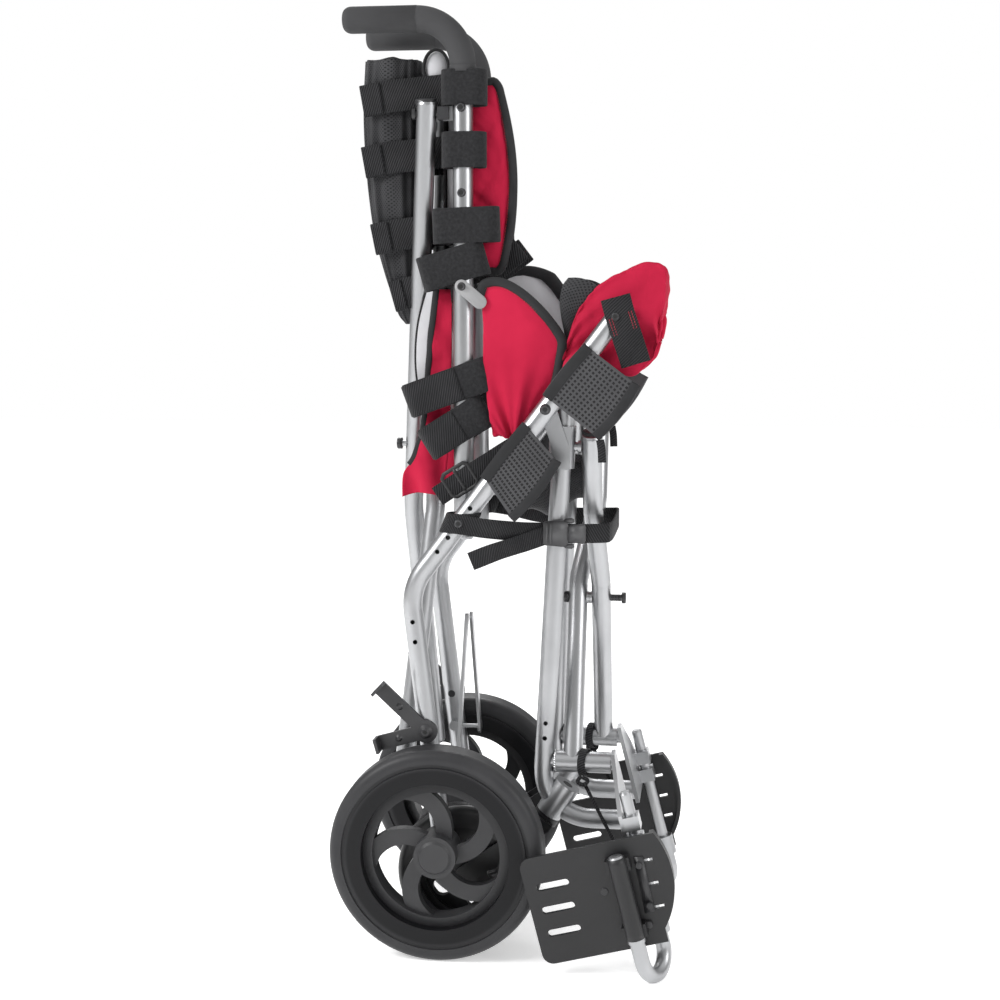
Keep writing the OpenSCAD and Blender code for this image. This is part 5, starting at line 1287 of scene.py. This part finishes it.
# %% Bolt sockets
def face_tree(name, shape_nodes):
    tree, ids, start, done = node_tree(name, [("Radius", FLOAT), ("Finish", MATERIAL)])
    shape = shape_nodes(tree, start)
    place = add_node(tree, "GeometryNodeInstanceOnPoints", {"Rotation": (math.pi / 2, 0, 0)})
    dots = tree.nodes.new("GeometryNodeMeshToPoints")
    connect(tree, (start.outputs["Geometry"], dots.inputs["Mesh"]), (dots.outputs[0], place.inputs["Points"]),
            (shape, place.inputs["Instance"]))
    end_tree(tree, place.outputs[0], start, done)
    return tree, ids


def hexagon(tree, start):
    face = add_node(tree, "GeometryNodeMeshCircle", {"Vertices": 6}, fill_type="NGON")
    tree.links.new(start.outputs["Radius"], face.inputs["Radius"])
    return face.outputs[0]


def rim(tree, start):
    ring = add_node(tree, "GeometryNodeCurvePrimitiveCircle", {"Resolution": 16})
    wire = add_node(tree, "GeometryNodeCurvePrimitiveCircle", {"Resolution": 6, "Radius": 0.0007})
    body = tree.nodes.new("GeometryNodeCurveToMesh")
    connect(tree, (start.outputs["Radius"], ring.inputs["Radius"]), (ring.outputs[0], body.inputs["Curve"]),
            (wire.outputs[0], body.inputs["Profile Curve"]))
    return body.outputs[0]


hex_tree, hex_ids = face_tree("hex_sockets", hexagon)
rim_tree, rim_ids = face_tree("head_rims", rim)
finish("black_hardware", (0.004, 0.004, 0.004), (0.008, 0.008, 0.008), 0.6, name="socket_shadow")
finish("black_hardware", (0.10, 0.10, 0.105), (0.05, 0.05, 0.052), 0.3, metal=0.6, name="worn_rim")
HEADS = {"cane": [(-0.0561, 0.0868, 1.0733), (-0.0561, 0.0868, 0.9693), (-0.0561, 0.0898, 0.8533)],
         "rail": [(-0.0561, 0.1171, 0.5573), (0.0529, 0.1168, 0.7019), (0.1389, 0.1168, 0.8161),
                  (-0.0990, 0.1215, 0.2884)]}
MARKS = ((hex_tree, hex_ids, "sockets", 0.0024, "socket_shadow", 0.00015),
         (rim_tree, rim_ids, "rims", 0.0041, "worn_rim", 0.0))
for side, sign in SIDES:
    for body, heads in HEADS.items():
        for tree, ids, label, radius, paint, lift in MARKS:
            mesh = bpy.data.meshes.new("heads")
            mesh.from_pydata([(x, sign * (y + lift), z) for x, y, z in heads], [], [])
            marks = run_tree(f"{side}_{body}_bolt_{label}", mesh, tree, ids,
                             {"Radius": radius, "Finish": FINISHES[paint]})
            if sign > 0 and label == "sockets":
                marks.data.flip_normals()
            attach(marks, f"{side}_{body}")
print("bolt heads a side:", sum(len(h) for h in HEADS.values()))

# %% [markdown]
# A light grey tab sits under the third cane bolt, a black sleeve covers each footrest tube's top, and a
# weld bead runs round the brace rod where it meets the leg.

# %% Tabs, sleeves and welds
weld, weld_ids, start, done = node_tree("weld_bead", [("Radius", FLOAT), ("Bead", FLOAT), ("Place", VECTOR),
                                                      ("Finish", MATERIAL)])
ring = add_node(weld, "GeometryNodeCurvePrimitiveCircle", {"Resolution": 26})
stand = add_node(weld, "GeometryNodeTransform", {"Rotation": (0, math.pi / 2, 0)})
drop = add_node(weld, "GeometryNodeMeshUVSphere", {"Segments": 8, "Rings": 5})
vary = add_node(weld, "FunctionNodeRandomValue", {"Seed": 7})
for label, share in (("Min", 0.85), ("Max", 1.15)):
    next(i for i in vary.inputs if i.name == label and i.type == "VALUE").default_value = share
place = weld.nodes.new("GeometryNodeInstanceOnPoints")
connect(weld, (start.outputs["Radius"], ring.inputs["Radius"]), (ring.outputs[0], stand.inputs["Geometry"]),
        (start.outputs["Place"], stand.inputs["Translation"]), (stand.outputs[0], place.inputs["Points"]),
        (start.outputs["Bead"], drop.inputs["Radius"]), (drop.outputs[0], place.inputs["Instance"]),
        ([o for o in vary.outputs if o.type == "VALUE"][0], place.inputs["Scale"]))
end_tree(weld, place.outputs[0], start, done)
ROD_X, TAB_R, FOOT_Y, FOOT_LEAN = 0.0632, 0.0087, 0.1981, 0.2588
TAB_LOW, TAB_HIGH = np.array((-0.0331, 0.8340)), np.array((-0.0561, 0.8533))


def half_round(centre, radius, lean, start):
    turns = lean + np.linspace(start, start + math.pi, 12)
    return [tuple(centre + radius * np.array((math.cos(t), math.sin(t)))) for t in turns]


for side, sign in SIDES:
    bead = run_tree(side + "_rod_weld", bpy.data.meshes.new("weld"), weld, weld_ids,
                    {"Radius": 0.0128, "Bead": 0.0021, "Place": (ROD_X, sign * TIE_Y, TIE_Z),
                     "Finish": FINISHES["satin_tube"]})
    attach(bead, side + "_leg")
    lean = math.atan2(TAB_HIGH[1] - TAB_LOW[1], TAB_HIGH[0] - TAB_LOW[0])
    outline = half_round(TAB_LOW, TAB_R, lean, math.pi / 2) + half_round(TAB_HIGH, TAB_R, lean, -math.pi / 2)
    tab = moulded_plate(side + "_cane_tab", outline, sign * 0.0827, sign * 0.0862, "grey_tab", 0.0006)
    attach(tab, side + "_cane")
    line = np.array([(0.1753 - FOOT_LEAN * (z - 0.0625), sign * FOOT_Y, z) for z in np.linspace(0.0600, 0.1610, 16)])
    sleeve = sweep(side + "_foot_sleeve", line, ACROSS, round_section(0.01145, 0.01145, 28), "black_moulding")
    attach(sleeve, side + "_foot")
print("tabs, sleeves and welds")

# %% [markdown]
# The crossing bolts are black, with an open thread at the front, and every brace tube ends in a black
# plug. The caps are short round sleeves over the solids' own heads; the thread is a coil made by nodes.
# A bracket and four bolt heads, made in the same way, sit on each footplate.

# %% Caps, plugs and thread
THREAD = {"Turns": 22.0, "Radius": 0.0040, "Length": 0.030, "Wire": 0.0007, "Place": (0.1135, 0.0, 0.4467),
          "Finish": FINISHES["black_hardware"]}
coil, coil_ids, start, done = node_tree("screw_thread", [("Turns", FLOAT), ("Radius", FLOAT), ("Length", FLOAT),
                                                         ("Wire", FLOAT), ("Place", VECTOR), ("Finish", MATERIAL)])
spiral = add_node(coil, "GeometryNodeCurveSpiral", {"Resolution": 14})
wire = add_node(coil, "GeometryNodeCurvePrimitiveCircle", {"Resolution": 6})
lay = add_node(coil, "GeometryNodeTransform", {"Rotation": (0, math.pi / 2, 0)})
body = add_node(coil, "GeometryNodeCurveToMesh", {"Fill Caps": True})
connect(coil, (start.outputs["Turns"], spiral.inputs["Rotations"]), (start.outputs["Length"], spiral.inputs["Height"]),
        (start.outputs["Radius"], spiral.inputs["Start Radius"]),
        (start.outputs["Radius"], spiral.inputs["End Radius"]),
        (start.outputs["Wire"], wire.inputs["Radius"]), (spiral.outputs[0], body.inputs["Curve"]),
        (wire.outputs[0], body.inputs["Profile Curve"]), (body.outputs[0], lay.inputs["Geometry"]),
        (start.outputs["Place"], lay.inputs["Translation"]))
end_tree(coil, lay.outputs[0], start, done)
thread = run_tree("front_bolt_thread", bpy.data.meshes.new("thread"), coil, coil_ids, THREAD)
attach(thread, "brace_b")


CAP_STEPS, CAP_SIDES = (0.0, 0.3, 0.6, 0.85, 0.97, 1.0), 24
CAP_ROUND = ((3, 0.985), (4, 0.90), (5, 0.80))


def cap(name, foot, tip, radius, body):
    foot, tip = np.array(foot), np.array(tip)
    steps = [foot + (tip - foot) * t for t in CAP_STEPS]
    wide = ACROSS if abs(tip[0] - foot[0]) > 0.003 else ALONG
    piece = sweep(name, steps, wide, round_section(radius, radius, CAP_SIDES), "black_hardware")
    shape = np.array([v.co for v in piece.data.vertices]).reshape(len(CAP_STEPS), CAP_SIDES, 3)
    for level, share in CAP_ROUND:
        shape[level] = steps[level] + (shape[level] - steps[level]) * share
    piece.data.vertices.foreach_set("co", shape.astype(np.float32).ravel())
    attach(piece, body)


cap("rear_cross_bolt", (-0.1490, -0.002, 0.6483), (-0.1556, -0.002, 0.6483), 0.0075, "rear_brace_a")
cap("front_cross_bolt", (0.1436, 0.0, 0.4467), (0.1490, 0.0, 0.4467), 0.0075, "brace_b")
cap("front_cross_head", (0.0730, 0.0, 0.4467), (0.0669, 0.0, 0.4467), 0.0075, "brace_a")
for front, rear, y in (("brace_b", "rear_brace_a", -1), ("brace_a", "rear_brace_b", 1)):
    cap(front + "_plug", (0.1070, y * 0.0592, 0.6590), (0.1076, y * 0.0626, 0.6725), 0.0133, front)
    x = -0.1035 if y < 0 else -0.1014
    cap(rear + "_plug", (x + 0.0003, y * 0.0655, 1.0780), (x + 0.0003, y * 0.0669, 1.0866), 0.0134, rear)
PLATE_FACE = 0.1828
BRACKET = [(0.1706, 0.1584), (0.1827, 0.1593), (0.1979, 0.0902), (0.1858, 0.0872)]
BOLTS = [(0.1775, 0.1490, 0.0046, 0.0066), (0.1915, 0.0985, 0.0046, 0.0066), (0.1907, 0.0733, 0.0050, 0.0044),
         (0.1357, 0.1120, 0.0048, 0.0012)]
for side, sign in SIDES:
    faces = sorted((sign * PLATE_FACE, sign * (PLATE_FACE + 0.0026)))
    bracket = moulded_plate(side + "_plate_bracket", BRACKET, *faces, "black_hardware", 0.0008)
    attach(bracket, side + "_plate")
    for number, (x, z, radius, height) in enumerate(BOLTS):
        cap(f"{side}_plate_bolt_{number + 1}", (x, sign * PLATE_FACE, z), (x, sign * (PLATE_FACE + height), z),
            radius, side + "_plate")
print("caps, plugs and plate brackets")
